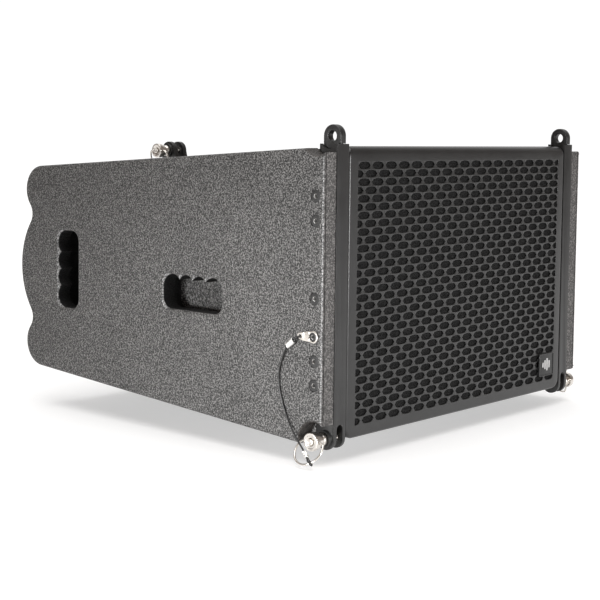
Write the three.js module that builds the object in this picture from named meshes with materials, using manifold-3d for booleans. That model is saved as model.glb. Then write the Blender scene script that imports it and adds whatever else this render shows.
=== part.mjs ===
// One cabinet of a line array loudspeaker, with its rigging, in millimetres.
// X runs across the front, Y runs from the grille to the rear and Z is up.
// The cabinet is drawn with Y = 0 at the front edge of its side panels and Z = 0 at half its height.
// The exported group moves it so that the origin lies on the line through the two front tongue holes.
import * as THREE from 'three';
import { mergeVertices } from 'three/addons/utils/BufferGeometryUtils.js';
import Module from 'manifold-3d';

const wasm = await Module();
wasm.setup();

// ---- Driving dimensions -------------------------------------------------------------------------
const WIDTH = 485;
const FRONT_HEIGHT = 300;
const TAPER = THREE.MathUtils.degToRad(3.72);
const SIDE_T = 19;
const PANEL_T = 18;
const GAP = 0.3;

const HALF_W = WIDTH / 2;
const HALF_H = FRONT_HEIGHT / 2;
const INNER_X = HALF_W - SIDE_T;
const PANEL_DROP = 1;
const TOP_PANEL_FRONT = 23;
const BACK_FRONT = 434;
const BACK_REAR = BACK_FRONT + PANEL_T;

// Front flying line: the pin bore at the bottom and the tongue hole at the top.
const PIN_Y = 10.2;
const PIN_Z = -143.5;
const LUG_Z = 160.5;
const NOTCH_R = 19;
const BORE_R = 5.3;

// Wavy rear edge of the side panels.
const LOBE_Y = 448;
const LOBE_Z = 92;
const CROWN_Y = 397.9;
const CROWN_R = 88.7;
const WAVE_FILLET_R = 15.7;

// Hand slots: a long slot with finger scallops along one side.
const HAND_HALF_LENGTH = 45.5;
const HAND_HALF_WIDTH = 19;
const FINGER_PITCH = 20;
const FINGER_DEPTH = 5.5;
const HAND_CORNER_R = 12;
const REAR_SLOT = { y: 397, z: 0, turn: -Math.PI / 2, depth: 62 };
const MIDDLE_SLOT = { y: 186, z: -10.5, turn: 0, depth: 37 };
const HAND_BOX_WALL = 6;
const HAND_BOX_MARGIN = 6;

// Side screws, from the top down. The fourth one also holds the lanyard tab.
const SCREW_Y = 10.2;
const SCREW_Z = [101.4, 76.8, -0.4, -38.3, -62.8, -87.1];
const TAB_SCREW = 3;
const SCREW_HEAD_R = 6;
const SCREW_HEAD_H = 3.1;
const SCREW_SHANK_R = 2.9;
const SCREW_LENGTH = 21.9;
const TAB_HEAD_R = 4.3;

// Front rails and tongues.
const RAIL_OUT_X = INNER_X - 0.4;
const RAIL_IN_X = RAIL_OUT_X - 17.6;
const RAIL_WALL = 3;
const RAIL_FRONT = -1.2;
const RAIL_BACK = 22.2;
const RAIL_TOP = 152.8;
const RAIL_END_Z = PIN_Z;
const SLOT_TOP = -129;
const SLOT_HALF_W = 4.7;
const SCOOP_R = 12.9;
const BOSS_R = 9;
const BOSS_H = 4.5;
const TONGUE_T = 8;
const TONGUE_HALF_Y = 11.5;
const TONGUE_BOTTOM = 64;

// Ball-lock pins. Their length runs from the seat, where the barrel meets the boss.
const SHANK_R = 5;
const SHANK_IN = 22.5;
const BARREL_R = 7;
const BARREL_H = 11.2;
const HEAD_R = 9.25;
const HEAD_H = 7;
const BUTTON_R = 3.3;
const BUTTON_PROUD = 1.3;
const BAIL_R = 16.4;
const BAIL_DROP = 9.3;
const BAIL_WIRE_R = 1.1;
const BAIL_HOLE_R = 1.5;

// Grille.
const GRILLE_HALF_X = 205.1;
const GRILLE_TOP = 150.4;
const GRILLE_BOTTOM = -146.4;
const GRILLE_FRONT = -1.3;
const GRILLE_T = 1.5;
const GRILLE_BACK = 17.5;
const GRILLE_FOLD_BACK = 22.5;
const GRILLE_CORNER_R = 12;
const FOAM_T = 8;

// Rear rigging.
const REAR_PIN_Y = 474.3;
const REAR_PIN_Z = 138.2;
const EAR_R = 12;
const EAR_IN_X = 5;
const EAR_T = 6;
const REAR_BOSS_H = 3;
const BRACKET_BOTTOM = -118;
const BAR_HALF_T = 3.9;
const BAR_TOP = 80;
const BAR_BOTTOM = -120;
const GUIDE_Z = -60;
const GUIDE_R = 4;

// Baffle, drivers and connectors.
const BAFFLE_FRONT = 26;
const BAFFLE_BACK = BAFFLE_FRONT + PANEL_T;
const WOOFER_X = -79.5;
const WOOFER_R = 124;
const WOOFER_HOLE_R = 112;
const HORN_X = 125;
const HORN_HALF_W = 70;
const HORN_HALF_H = 108;
const HORN_DEPTH = 84;
const THROAT_R = 18;
const PLATE_X = -115;

// Steel lanyards.
const WIRE_R = 0.9;
const WIRE_STEPS = 96;

// How the pins' rings lie, and where each lanyard's eye sits on its ring.
const LEFT_RING_TILT = THREE.MathUtils.degToRad(38);
const RIGHT_RING_TILT = THREE.MathUtils.degToRad(25);
const REAR_RING_TILT = THREE.MathUtils.degToRad(-15);
const LEFT_EYE_ANGLE = THREE.MathUtils.degToRad(125);
const RIGHT_EYE_ANGLE = THREE.MathUtils.degToRad(45);

const STEEL_BLACK = { color: 0x2d2d2e, roughness: 0.45, metalness: 0.6 };
const PAINT = { color: 0x2b2b2b, roughness: 0.75, metalness: 0 };
const NICKEL = { color: 0xcfcac2, roughness: 0.2, metalness: 1 };
const WOOD = { color: 0x8a6b45, roughness: 0.8, metalness: 0 };
const PLASTIC = { color: 0x151516, roughness: 0.5, metalness: 0 };

// ---- Geometry helpers ---------------------------------------------------------------------------
const AXIS_X = new THREE.Vector3(1, 0, 0);
const AXIS_Y = new THREE.Vector3(0, 1, 0);
const AXIS_Z = new THREE.Vector3(0, 0, 1);

function signedVolume(positions, index) {
  const a = new THREE.Vector3();
  const b = new THREE.Vector3();
  const c = new THREE.Vector3();
  let sum = 0;
  for (let i = 0; i < index.length; i += 3) {
    a.fromBufferAttribute(positions, index[i]);
    b.fromBufferAttribute(positions, index[i + 1]);
    c.fromBufferAttribute(positions, index[i + 2]);
    sum += a.dot(b.cross(c));
  }
  return sum / 6;
}

// Shares the vertices of a closed geometry, drops collapsed triangles and turns the faces outwards.
function weld(geometry) {
  const bare = geometry.clone();
  bare.deleteAttribute('normal');
  bare.deleteAttribute('uv');
  const merged = mergeVertices(bare, 1e-3);
  const all = Array.from(merged.index.array);
  const kept = [];
  for (let i = 0; i < all.length; i += 3) {
    const [a, b, c] = all.slice(i, i + 3);
    if (a !== b && b !== c && c !== a) kept.push(a, b, c);
  }
  if (signedVolume(merged.attributes.position, kept) < 0) kept.reverse();
  merged.setIndex(kept);
  return merged;
}

function toManifold(geometry) {
  const welded = weld(geometry);
  return new wasm.Manifold(new wasm.Mesh({
    numProp: 3,
    vertProperties: new Float32Array(welded.attributes.position.array),
    triVerts: new Uint32Array(welded.index.array),
  }));
}

function toGeometry(manifold) {
  const mesh = manifold.getMesh();
  const geometry = new THREE.BufferGeometry();
  geometry.setAttribute('position', new THREE.BufferAttribute(mesh.vertProperties, 3));
  geometry.setIndex(Array.from(mesh.triVerts));
  return geometry;
}

function cut(base, tools) {
  return toGeometry(tools.reduce((body, tool) => body.subtract(toManifold(tool)), toManifold(base)));
}

function join(parts) {
  return toGeometry(parts.slice(1).reduce((body, part) => body.add(toManifold(part)), toManifold(parts[0])));
}

function common(a, b) {
  return toGeometry(toManifold(a).intersect(toManifold(b)));
}

// A block between two opposite corners.
function block(x0, x1, y0, y1, z0, z1) {
  const geometry = new THREE.BoxGeometry(x1 - x0, y1 - y0, z1 - z0);
  return geometry.translate((x0 + x1) / 2, (y0 + y1) / 2, (z0 + z1) / 2);
}

// An outline in Y and Z, extruded along X.
function plateAcrossX(shape, x0, x1, curveSegments = 6) {
  const geometry = new THREE.ExtrudeGeometry(shape, { depth: x1 - x0, bevelEnabled: false, curveSegments });
  geometry.applyMatrix4(new THREE.Matrix4().makeBasis(AXIS_Y, AXIS_Z, AXIS_X));
  return geometry.translate(x0, 0, 0);
}

// An outline in X and Z, extruded along Y.
function plateAcrossY(shape, y0, y1, curveSegments = 6) {
  const geometry = new THREE.ExtrudeGeometry(shape, { depth: y1 - y0, bevelEnabled: false, curveSegments });
  geometry.applyMatrix4(new THREE.Matrix4().makeBasis(AXIS_X, AXIS_Z, AXIS_Y.clone().negate()));
  return geometry.translate(0, y1, 0);
}

// A solid of revolution. The profile is a list of [radius, height] and the height runs along +X.
function turnedAlongX(profile, segments = 24) {
  const points = profile.map(([radius, height]) => new THREE.Vector2(radius, height));
  return new THREE.LatheGeometry(points, segments).rotateZ(-Math.PI / 2);
}

// The same with the height along +Y.
function turnedAlongY(profile, segments = 24) {
  const points = profile.map(([radius, height]) => new THREE.Vector2(radius, height));
  return new THREE.LatheGeometry(points, segments);
}

function rodAlongX(radius, x0, x1, y, z, segments = 24) {
  const geometry = new THREE.CylinderGeometry(radius, radius, x1 - x0, segments).rotateZ(Math.PI / 2);
  return geometry.translate((x0 + x1) / 2, y, z);
}

function rodAlongY(radius, y0, y1, x, z, segments = 24) {
  const geometry = new THREE.CylinderGeometry(radius, radius, y1 - y0, segments);
  return geometry.translate(x, (y0 + y1) / 2, z);
}

// The same piece on the other side of the cabinet.
function mirrored(geometry) {
  return weld(geometry.clone().scale(-1, 1, 1));
}

function roundedRectangle(x0, x1, z0, z1, radius) {
  const shape = new THREE.Shape();
  shape.absarc(x1 - radius, z0 + radius, radius, -Math.PI / 2, 0, false);
  shape.absarc(x1 - radius, z1 - radius, radius, 0, Math.PI / 2, false);
  shape.absarc(x0 + radius, z1 - radius, radius, Math.PI / 2, Math.PI, false);
  shape.absarc(x0 + radius, z0 + radius, radius, Math.PI, 1.5 * Math.PI, false);
  shape.closePath();
  return shape;
}

// The centre of a circle that touches two others from outside, on the side of larger Y.
function touchingCentre(a, radiusA, b, radiusB) {
  const distance = a.distanceTo(b);
  const along = (distance ** 2 + radiusA ** 2 - radiusB ** 2) / (2 * distance);
  const aside = Math.sqrt(radiusA ** 2 - along ** 2);
  const towards = b.clone().sub(a).normalize();
  const side = new THREE.Vector2(-towards.y, towards.x);
  if (side.x < 0) side.negate();
  return a.clone().addScaledVector(towards, along).addScaledVector(side, aside);
}

// Height of the side panels' top edge at a given depth; the bottom edge mirrors it.
function edgeZ(y) {
  return HALF_H - y * Math.tan(TAPER);
}

// ---- Cabinet ------------------------------------------------------------------------------------
function sideOutline() {
  const lobe = new THREE.Vector2(LOBE_Y, LOBE_Z);
  const crown = new THREE.Vector2(CROWN_Y, 0);
  const lobeR = (edgeZ(LOBE_Y) - LOBE_Z) * Math.cos(TAPER);
  const fillet = touchingCentre(lobe, lobeR + WAVE_FILLET_R, crown, CROWN_R + WAVE_FILLET_R);
  const toFillet = fillet.clone().sub(lobe).angle() - 2 * Math.PI;
  const toCrown = crown.clone().sub(fillet).angle();
  const crownAngle = fillet.clone().sub(crown).angle();
  const noseAngle = Math.PI / 2 - TAPER;
  const notchFront = Math.acos(PIN_Y / NOTCH_R);
  const notchTop = Math.asin((LUG_Z - edgeZ(PIN_Y + NOTCH_R * 0.86)) / NOTCH_R);
  const notchBottom = Math.asin((edgeZ(PIN_Y + NOTCH_R * 0.95) + PIN_Z) / NOTCH_R);
  const shape = new THREE.Shape();
  shape.absarc(PIN_Y, LUG_Z, NOTCH_R, Math.PI + notchFront, 2 * Math.PI - notchTop, false);
  shape.absarc(lobe.x, lobe.y, lobeR, noseAngle, toFillet, true);
  shape.absarc(fillet.x, fillet.y, WAVE_FILLET_R, toFillet + Math.PI, toCrown, false);
  shape.absarc(crown.x, crown.y, CROWN_R, crownAngle, -crownAngle, true);
  shape.absarc(fillet.x, -fillet.y, WAVE_FILLET_R, 2 * Math.PI - toCrown, Math.PI - toFillet, false);
  shape.absarc(lobe.x, -lobe.y, lobeR, -toFillet, -noseAngle, true);
  shape.absarc(PIN_Y, PIN_Z, NOTCH_R, -notchBottom, Math.PI - notchFront, false);
  shape.closePath();
  return shape;
}

// The outline of a hand slot, turned about its centre. Fingers go into the scallops.
function handSlot({ y, z, turn }) {
  const path = new THREE.Path();
  const origin = new THREE.Vector2();
  const arc = (u, v, radius, from, to) => {
    const centre = new THREE.Vector2(u, v).rotateAround(origin, turn);
    path.absarc(y + centre.x, z + centre.y, radius, from + turn, to + turn, false);
  };
  const endSpan = HAND_HALF_LENGTH - FINGER_PITCH;
  const endR = endSpan + FINGER_DEPTH - Math.sqrt(2 * endSpan * FINGER_DEPTH);
  const fingerR = ((FINGER_PITCH / 2) ** 2 + FINGER_DEPTH ** 2) / (2 * FINGER_DEPTH);
  const endU = HAND_HALF_LENGTH - endR;
  const endV = HAND_HALF_WIDTH - endR;
  const cusp = HAND_HALF_WIDTH - FINGER_DEPTH;
  const endAngle = Math.atan2(cusp - endV, FINGER_PITCH - endU);
  const fingerV = HAND_HALF_WIDTH - fingerR;
  const fingerAngle = Math.atan2(cusp - fingerV, FINGER_PITCH / 2);
  const cornerU = HAND_HALF_LENGTH - HAND_CORNER_R;
  const cornerV = HAND_CORNER_R - HAND_HALF_WIDTH;
  arc(-cornerU, cornerV, HAND_CORNER_R, -Math.PI, -Math.PI / 2);
  arc(cornerU, cornerV, HAND_CORNER_R, -Math.PI / 2, 0);
  arc(endU, endV, endR, 0, endAngle);
  arc(FINGER_PITCH / 2, fingerV, fingerR, fingerAngle, Math.PI - fingerAngle);
  arc(-FINGER_PITCH / 2, fingerV, fingerR, fingerAngle, Math.PI - fingerAngle);
  arc(-endU, endV, endR, Math.PI - endAngle, Math.PI);
  path.closePath();
  return path;
}

function sidePanel() {
  const outline = sideOutline();
  outline.holes.push(handSlot(REAR_SLOT));
  outline.holes.push(handSlot(MIDDLE_SLOT));
  const board = plateAcrossX(outline, -HALF_W, -INNER_X, 5);
  const seats = SCREW_Z.map((z, i) => {
    const head = i === TAB_SCREW ? SCREW_SHANK_R : SCREW_HEAD_R;
    return screwSolid(GAP, 14, head).translate(-HALF_W, SCREW_Y, z);
  });
  return cut(board, seats);
}

function slopedPanel(direction) {
  const shape = new THREE.Shape();
  const outerFront = edgeZ(TOP_PANEL_FRONT) - PANEL_DROP;
  const outerRear = edgeZ(BACK_REAR) - PANEL_DROP;
  shape.moveTo(TOP_PANEL_FRONT, direction * outerFront);
  shape.lineTo(BACK_REAR, direction * outerRear);
  shape.lineTo(BACK_REAR, direction * (outerRear - PANEL_T));
  shape.lineTo(TOP_PANEL_FRONT, direction * (outerFront - PANEL_T));
  shape.closePath();
  return plateAcrossX(shape, -INNER_X + GAP, INNER_X - GAP);
}

function innerHalfHeight(y) {
  return edgeZ(y) - PANEL_DROP - PANEL_T - GAP;
}

function backPanel() {
  const halfX = INNER_X - GAP;
  const halfZ = innerHalfHeight(BACK_REAR);
  const board = block(-halfX, halfX, BACK_FRONT, BACK_REAR, -halfZ, halfZ);
  const opening = block(PLATE_X - 45, PLATE_X + 45, BACK_FRONT - 1, BACK_REAR + 1, -30, 30);
  return cut(board, [opening]);
}

function frontBaffle() {
  const halfX = INNER_X - GAP;
  const halfZ = innerHalfHeight(BAFFLE_BACK);
  const board = block(-halfX, halfX, BAFFLE_FRONT, BAFFLE_BACK, -halfZ, halfZ);
  const wooferHole = rodAlongY(WOOFER_HOLE_R, BAFFLE_FRONT - 1, BAFFLE_BACK + 1, WOOFER_X, 0, 40);
  const hornHole = block(HORN_X - HORN_HALF_W, HORN_X + HORN_HALF_W,
    BAFFLE_FRONT - 1, BAFFLE_BACK + 1, -HORN_HALF_H, HORN_HALF_H);
  return cut(board, [wooferHole, hornHole]);
}

// The tray behind a hand slot. Its floor lies at the slot's depth from the outer face.
function handBox(slot) {
  const upright = slot.turn !== 0;
  const halfLong = HAND_HALF_LENGTH + HAND_BOX_MARGIN;
  const halfShort = HAND_HALF_WIDTH + HAND_BOX_MARGIN;
  const halfY = upright ? halfShort : halfLong;
  const halfZ = upright ? halfLong : halfShort;
  const wall = HAND_BOX_WALL;
  const mouth = -INNER_X + GAP;
  const floor = -HALF_W + slot.depth;
  const outer = block(mouth, floor + wall, slot.y - halfY - wall, slot.y + halfY + wall,
    slot.z - halfZ - wall, slot.z + halfZ + wall);
  const hollow = block(mouth - 1, floor, slot.y - halfY, slot.y + halfY, slot.z - halfZ, slot.z + halfZ);
  return cut(outer, [hollow]);
}

// ---- Grille -------------------------------------------------------------------------------------
function grille() {
  const face = plateAcrossY(
    roundedRectangle(-GRILLE_HALF_X, GRILLE_HALF_X, GRILLE_BOTTOM, GRILLE_TOP, GRILLE_CORNER_R),
    GRILLE_FRONT, GRILLE_FRONT + GRILLE_T);
  const fold = GRILLE_FRONT + GRILLE_T / 2;
  const endX = GRILLE_HALF_X - GRILLE_CORNER_R - 3;
  const endTop = GRILLE_TOP - GRILLE_CORNER_R - 6;
  const endBottom = GRILLE_BOTTOM + GRILLE_CORNER_R + 3;
  const flanges = [
    block(-endX, endX, fold, GRILLE_FOLD_BACK, GRILLE_TOP - GRILLE_T, GRILLE_TOP),
    block(-endX, endX, fold, GRILLE_FOLD_BACK, GRILLE_BOTTOM, GRILLE_BOTTOM + GRILLE_T),
    block(-GRILLE_HALF_X, -GRILLE_HALF_X + GRILLE_T, fold, GRILLE_BACK, endBottom, endTop),
    block(GRILLE_HALF_X - GRILLE_T, GRILLE_HALF_X, fold, GRILLE_BACK, endBottom, endTop),
  ];
  return join([face, ...flanges]);
}

function grilleFoam() {
  const y0 = GRILLE_FRONT + GRILLE_T + GAP;
  const inset = 3;
  return block(-GRILLE_HALF_X + inset, GRILLE_HALF_X - inset, y0, y0 + FOAM_T,
    GRILLE_BOTTOM + inset, GRILLE_TOP - inset);
}

function badge() {
  const y1 = GRILLE_FRONT - GAP;
  return plateAcrossY(roundedRectangle(156.5, 188.5, -127.5, -100, 2), y1 - 2, y1);
}

// ---- Front rigging ------------------------------------------------------------------------------
function railProfile() {
  const radius = (RAIL_BACK - RAIL_FRONT) / 2;
  const shape = new THREE.Shape();
  shape.absarc(RAIL_FRONT + radius, RAIL_END_Z, radius, Math.PI, 2 * Math.PI, false);
  shape.lineTo(RAIL_BACK, RAIL_TOP);
  shape.lineTo(RAIL_FRONT, RAIL_TOP);
  shape.closePath();
  return shape;
}

// The fork slot in the rail's front plate, open at the bottom and round at the top.
function forkSlot() {
  const x = -(RAIL_OUT_X + RAIL_IN_X) / 2;
  const half = SLOT_HALF_W;
  const shape = new THREE.Shape();
  shape.moveTo(x + half, PIN_Z - 20);
  shape.lineTo(x + half, SLOT_TOP - half);
  shape.absarc(x, SLOT_TOP - half, half, 0, Math.PI, false);
  shape.lineTo(x - half, PIN_Z - 20);
  shape.closePath();
  return plateAcrossY(shape, RAIL_FRONT - 1, RAIL_FRONT + RAIL_WALL + 1, 4);
}

function frontRail() {
  const bar = plateAcrossX(railProfile(), -RAIL_OUT_X, -RAIL_IN_X, 8);
  const boss = rodAlongX(BOSS_R, -RAIL_OUT_X - BOSS_H, -RAIL_OUT_X + 1, PIN_Y, PIN_Z);
  const channel = block(-RAIL_OUT_X + RAIL_WALL, -RAIL_IN_X - RAIL_WALL,
    RAIL_FRONT + RAIL_WALL, RAIL_BACK + 1, PIN_Z - 20, RAIL_TOP + 1);
  const round = rodAlongX(SCOOP_R, -RAIL_OUT_X - 1, -RAIL_IN_X + 1, PIN_Y, LUG_Z, 32);
  const frontStrip = block(-RAIL_OUT_X - 2, -RAIL_IN_X + 2, -20, 2, 100, 200);
  const scoop = cut(round, [frontStrip]);
  const bore = rodAlongX(BORE_R, -RAIL_OUT_X - BOSS_H - 1, -RAIL_IN_X + 1, PIN_Y, PIN_Z);
  const screwHoles = SCREW_Z.map((z) => rodAlongX(SCREW_SHANK_R + GAP,
    -RAIL_OUT_X - 1, -RAIL_OUT_X + RAIL_WALL + 1, SCREW_Y, z, 12));
  return cut(join([bar, boss]), [channel, forkSlot(), scoop, bore, ...screwHoles]);
}

function frontTongue() {
  const middle = -(RAIL_OUT_X + RAIL_IN_X) / 2;
  const shape = new THREE.Shape();
  shape.absarc(PIN_Y, LUG_Z, TONGUE_HALF_Y, 0, Math.PI, false);
  shape.lineTo(PIN_Y - TONGUE_HALF_Y, RAIL_TOP + GAP);
  shape.lineTo(RAIL_FRONT + RAIL_WALL + GAP, RAIL_TOP + GAP);
  shape.lineTo(RAIL_FRONT + RAIL_WALL + GAP, TONGUE_BOTTOM);
  shape.lineTo(PIN_Y + TONGUE_HALF_Y, TONGUE_BOTTOM);
  shape.closePath();
  const hole = new THREE.Path();
  hole.absarc(PIN_Y, LUG_Z, BORE_R, 0, 2 * Math.PI, true);
  shape.holes.push(hole);
  return plateAcrossX(shape, middle - TONGUE_T / 2, middle + TONGUE_T / 2, 12);
}

// A countersunk socket screw that goes in along +X from the origin. A clearance makes its seat.
function screwSolid(clearance, segments = 16, head = SCREW_HEAD_R) {
  const headR = head + clearance;
  const shankR = SCREW_SHANK_R + clearance;
  const start = clearance > 0 ? -1 : 0.4;
  const cone = (SCREW_HEAD_H - 0.7) * ((head - SCREW_SHANK_R) / (SCREW_HEAD_R - SCREW_SHANK_R));
  return turnedAlongX([
    [0, start], [headR, start], [headR, 0.7],
    [shankR, 0.7 + cone + clearance * 1.5], [shankR, SCREW_LENGTH + clearance * 3],
    [0, SCREW_LENGTH + clearance * 3],
  ], segments);
}

function sideScrew(head, socketR) {
  const socket = rodAlongX(socketR, -1, 2.6, 0, 0, 6);
  return cut(screwSolid(0, 16, head), [socket]);
}

// ---- Ball-lock pins -----------------------------------------------------------------------------
// Each pin lies along X with its seat at the origin and its head towards -X.
function pinBody() {
  const face = -BARREL_H - HEAD_H;
  const holeR = BUTTON_R + GAP;
  const body = turnedAlongX([
    [0, SHANK_IN], [SHANK_R - 1.5, SHANK_IN], [SHANK_R, SHANK_IN - 1.5], [SHANK_R, 0],
    [BARREL_R - 0.6, 0], [BARREL_R, -0.6], [BARREL_R, -BARREL_H], [HEAD_R - 0.7, -BARREL_H],
    [HEAD_R, -BARREL_H - 0.7], [HEAD_R, face + 0.7], [HEAD_R - 0.7, face], [holeR + 1, face],
    [holeR, face + 1], [holeR, face + 10.5], [0, face + 10.5],
  ], 28);
  const hingeX = -BARREL_H - HEAD_H / 2;
  const crossHoles = [-1, 1].map((side) => {
    const y0 = side * (HEAD_R - 2.4);
    const y1 = side * (HEAD_R + 1);
    return rodAlongY(BAIL_HOLE_R, Math.min(y0, y1), Math.max(y0, y1), 0, 0, 10).translate(hingeX, 0, 0);
  });
  return cut(body, crossHoles);
}

function pinButton() {
  const face = -BARREL_H - HEAD_H;
  const outer = face - BUTTON_PROUD;
  const inner = face + 6.5;
  return turnedAlongX([
    [0, outer], [BUTTON_R - 0.5, outer], [BUTTON_R, outer + 0.5], [BUTTON_R, inner], [0, inner],
  ], 16);
}

// A wire bail hung on the head's cross holes. It hangs along -Z and its hinge runs along Y.
function pinRing() {
  const points = [];
  const halfChord = Math.sqrt(BAIL_R ** 2 - BAIL_DROP ** 2);
  const open = Math.atan2(halfChord, -BAIL_DROP);
  const innerEnd = HEAD_R - 2;
  const arcSteps = 16;
  points.push(new THREE.Vector3(0, innerEnd, 0), new THREE.Vector3(0, HEAD_R + 1.2, 0));
  for (let i = 0; i <= arcSteps; i += 1) {
    const angle = open - 0.12 - (2 * (open - 0.12) * i) / arcSteps;
    points.push(new THREE.Vector3(0, BAIL_R * Math.sin(angle), -BAIL_DROP - BAIL_R * Math.cos(angle)));
  }
  points.push(new THREE.Vector3(0, -HEAD_R - 1.2, 0), new THREE.Vector3(0, -innerEnd, 0));
  return wire(new THREE.CatmullRomCurve3(points, false, 'centripetal'), BAIL_WIRE_R, 44, 8);
}

// A round section swept along a curve.
function wire(curve, radius, steps, sides = 8) {
  const section = new THREE.Shape();
  for (let i = 0; i < sides; i += 1) {
    const angle = (2 * Math.PI * i) / sides;
    const corner = [radius * Math.cos(angle), radius * Math.sin(angle)];
    if (i === 0) section.moveTo(...corner);
    else section.lineTo(...corner);
  }
  section.closePath();
  return new THREE.ExtrudeGeometry(section, { steps, extrudePath: curve, bevelEnabled: false });
}

// ---- Lanyards -----------------------------------------------------------------------------------
const TAB_END_Y = 24;
const TAB_END_Z = -37.9;
const TAB_X = -HALF_W - GAP;

// A steel tab: flat under its screw, with its small end bent outwards so that the wire passes behind.
function lanyardTab() {
  const z = SCREW_Z[TAB_SCREW];
  const outline = new THREE.Shape();
  outline.absarc(SCREW_Y, z, 6.4, 1.75, 2 * Math.PI - 1.75, false);
  outline.absarc(TAB_END_Y, TAB_END_Z, 3.4, -1.4, 1.4, false);
  outline.closePath();
  const eye = new THREE.Path();
  eye.absarc(TAB_END_Y, TAB_END_Z, 1.6, 0, 2 * Math.PI, true);
  outline.holes.push(eye);
  const blank = plateAcrossX(outline, TAB_X - 10, TAB_X, 6);
  const bend = new THREE.Shape();
  bend.moveTo(TAB_X, -2);
  bend.lineTo(TAB_X, 15.3);
  bend.lineTo(TAB_X - 3.6, 20.2);
  bend.lineTo(TAB_X - 3.6, 35);
  bend.lineTo(TAB_X - 5.4, 35);
  bend.lineTo(TAB_X - 5.4, 19.4);
  bend.lineTo(TAB_X - 1.9, 14.4);
  bend.lineTo(TAB_X - 1.9, -2);
  bend.closePath();
  const strip = new THREE.ExtrudeGeometry(bend, { depth: 30, bevelEnabled: false }).translate(0, 0, z - 15);
  const seat = screwSolid(GAP, 14, TAB_HEAD_R).translate(TAB_X - 2, SCREW_Y, z);
  return cut(common(blank, strip), [seat]);
}

// The wire's run down each side panel, between its two crimp sleeves.
const LEFT_RUN = [
  [-244.9, 46.8, -56.6], [-244.2, 50.3, -63.5], [-244, 54.4, -75.2], [-244, 55.3, -87.1], [-244, 53.3, -98.5],
  [-244.1, 48.2, -113.2], [-244.9, 40.6, -126.8], [-246.9, 31.4, -137.6],
];
const RIGHT_RUN = [
  [244.9, 46.8, -56.6], [244.2, 51.6, -63.5], [244, 59.2, -75.2], [244, 63.4, -88.2], [244, 62.6, -102],
  [244.4, 56.8, -114.6], [245.6, 47.2, -121.8],
];
const TAB_SLEEVE_HALF = 5.5;
const RING_SLEEVE_HALF = 4;
const STRAND_END = 1.2;
const SLEEVE_SPREAD = 1.35;
const EYE_R = 3.6;

// The wire's loop through the tab's eye and round its small end.
const TAB_LOOP = [
  [244.4, 30.2, -40.9], [243.75, 27, -39.7], [244.75, 24.8, -38.6], [247.3, 24, -37.9],
  [249.85, 24.8, -38.6], [250.9, 26.6, -40.2], [249, 29.4, -42.3],
];

// A place on a pin's ring, and the ring wire's direction there. Zero lies along the hinge.
function onRing(hinge, hingeAxis, hang, angle) {
  const ringCentre = hinge.clone().addScaledVector(hang, BAIL_DROP);
  const place = ringCentre.clone();
  place.addScaledVector(hingeAxis, BAIL_R * Math.cos(angle)).addScaledVector(hang, BAIL_R * Math.sin(angle));
  const tangent = hingeAxis.clone().multiplyScalar(-Math.sin(angle)).addScaledVector(hang, Math.cos(angle));
  return { place, tangent };
}

// The crimp sleeve that closes the wire's eye round a ring: its middle, its axis and its wide side.
function ringSleeve(run, { place, tangent }) {
  const axis = place.clone().sub(new THREE.Vector3(...run.at(-1))).normalize();
  const side = tangent.clone().cross(axis).normalize();
  const eye = place.clone().addScaledVector(axis, WIRE_R + BAIL_WIRE_R + 0.35 - EYE_R);
  const centre = eye.clone().addScaledVector(axis, -RING_SLEEVE_HALF - 5.6);
  return { centre, axis, side, eye, half: RING_SLEEVE_HALF };
}

// The crimp sleeve next to the tab.
function tabSleeve(hand) {
  return {
    centre: new THREE.Vector3(hand * 245.8, 38.6, -47),
    axis: new THREE.Vector3(0, 0.8, -0.6),
    side: new THREE.Vector3(0, 0.6, 0.8),
    half: TAB_SLEEVE_HALF,
  };
}

function beside({ centre, axis, side }, along, across) {
  return centre.clone().addScaledVector(axis, along).addScaledVector(side, across);
}

// Places along one of the two strands in a sleeve, kept straight inside the bore.
function strand(sleeve, from, to, across) {
  return [from, from * 0.6, to * 0.6, to].map((along) => beside(sleeve, along, across));
}

// The wire starts in the sleeve by the tab, goes through the tab's eye and back through the sleeve.
// It runs down the panel and through the other sleeve, goes round the ring and ends in that sleeve.
function lanyardWire(hand, run, lower) {
  const upper = tabSleeve(hand);
  const upperEnd = upper.half + STRAND_END;
  const lowerEnd = lower.half + STRAND_END;
  const points = strand(upper, upperEnd, -upperEnd, SLEEVE_SPREAD);
  TAB_LOOP.forEach(([x, y, z]) => points.push(new THREE.Vector3(hand * x, y, z)));
  points.push(...strand(upper, -upperEnd, upperEnd, -SLEEVE_SPREAD));
  run.forEach((place) => points.push(new THREE.Vector3(...place)));
  points.push(...strand(lower, -lowerEnd, lowerEnd - 0.4, SLEEVE_SPREAD));
  [100, 60, 20, -20, -60, -100].forEach((degrees) => {
    const angle = THREE.MathUtils.degToRad(degrees);
    const place = lower.eye.clone().addScaledVector(lower.axis, EYE_R * Math.cos(angle));
    points.push(place.addScaledVector(lower.side, EYE_R * Math.sin(angle)));
  });
  points.push(...strand(lower, lowerEnd - 0.4, -lowerEnd, -SLEEVE_SPREAD));
  return wire(new THREE.CatmullRomCurve3(points, false, 'centripetal'), WIRE_R, WIRE_STEPS);
}

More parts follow.
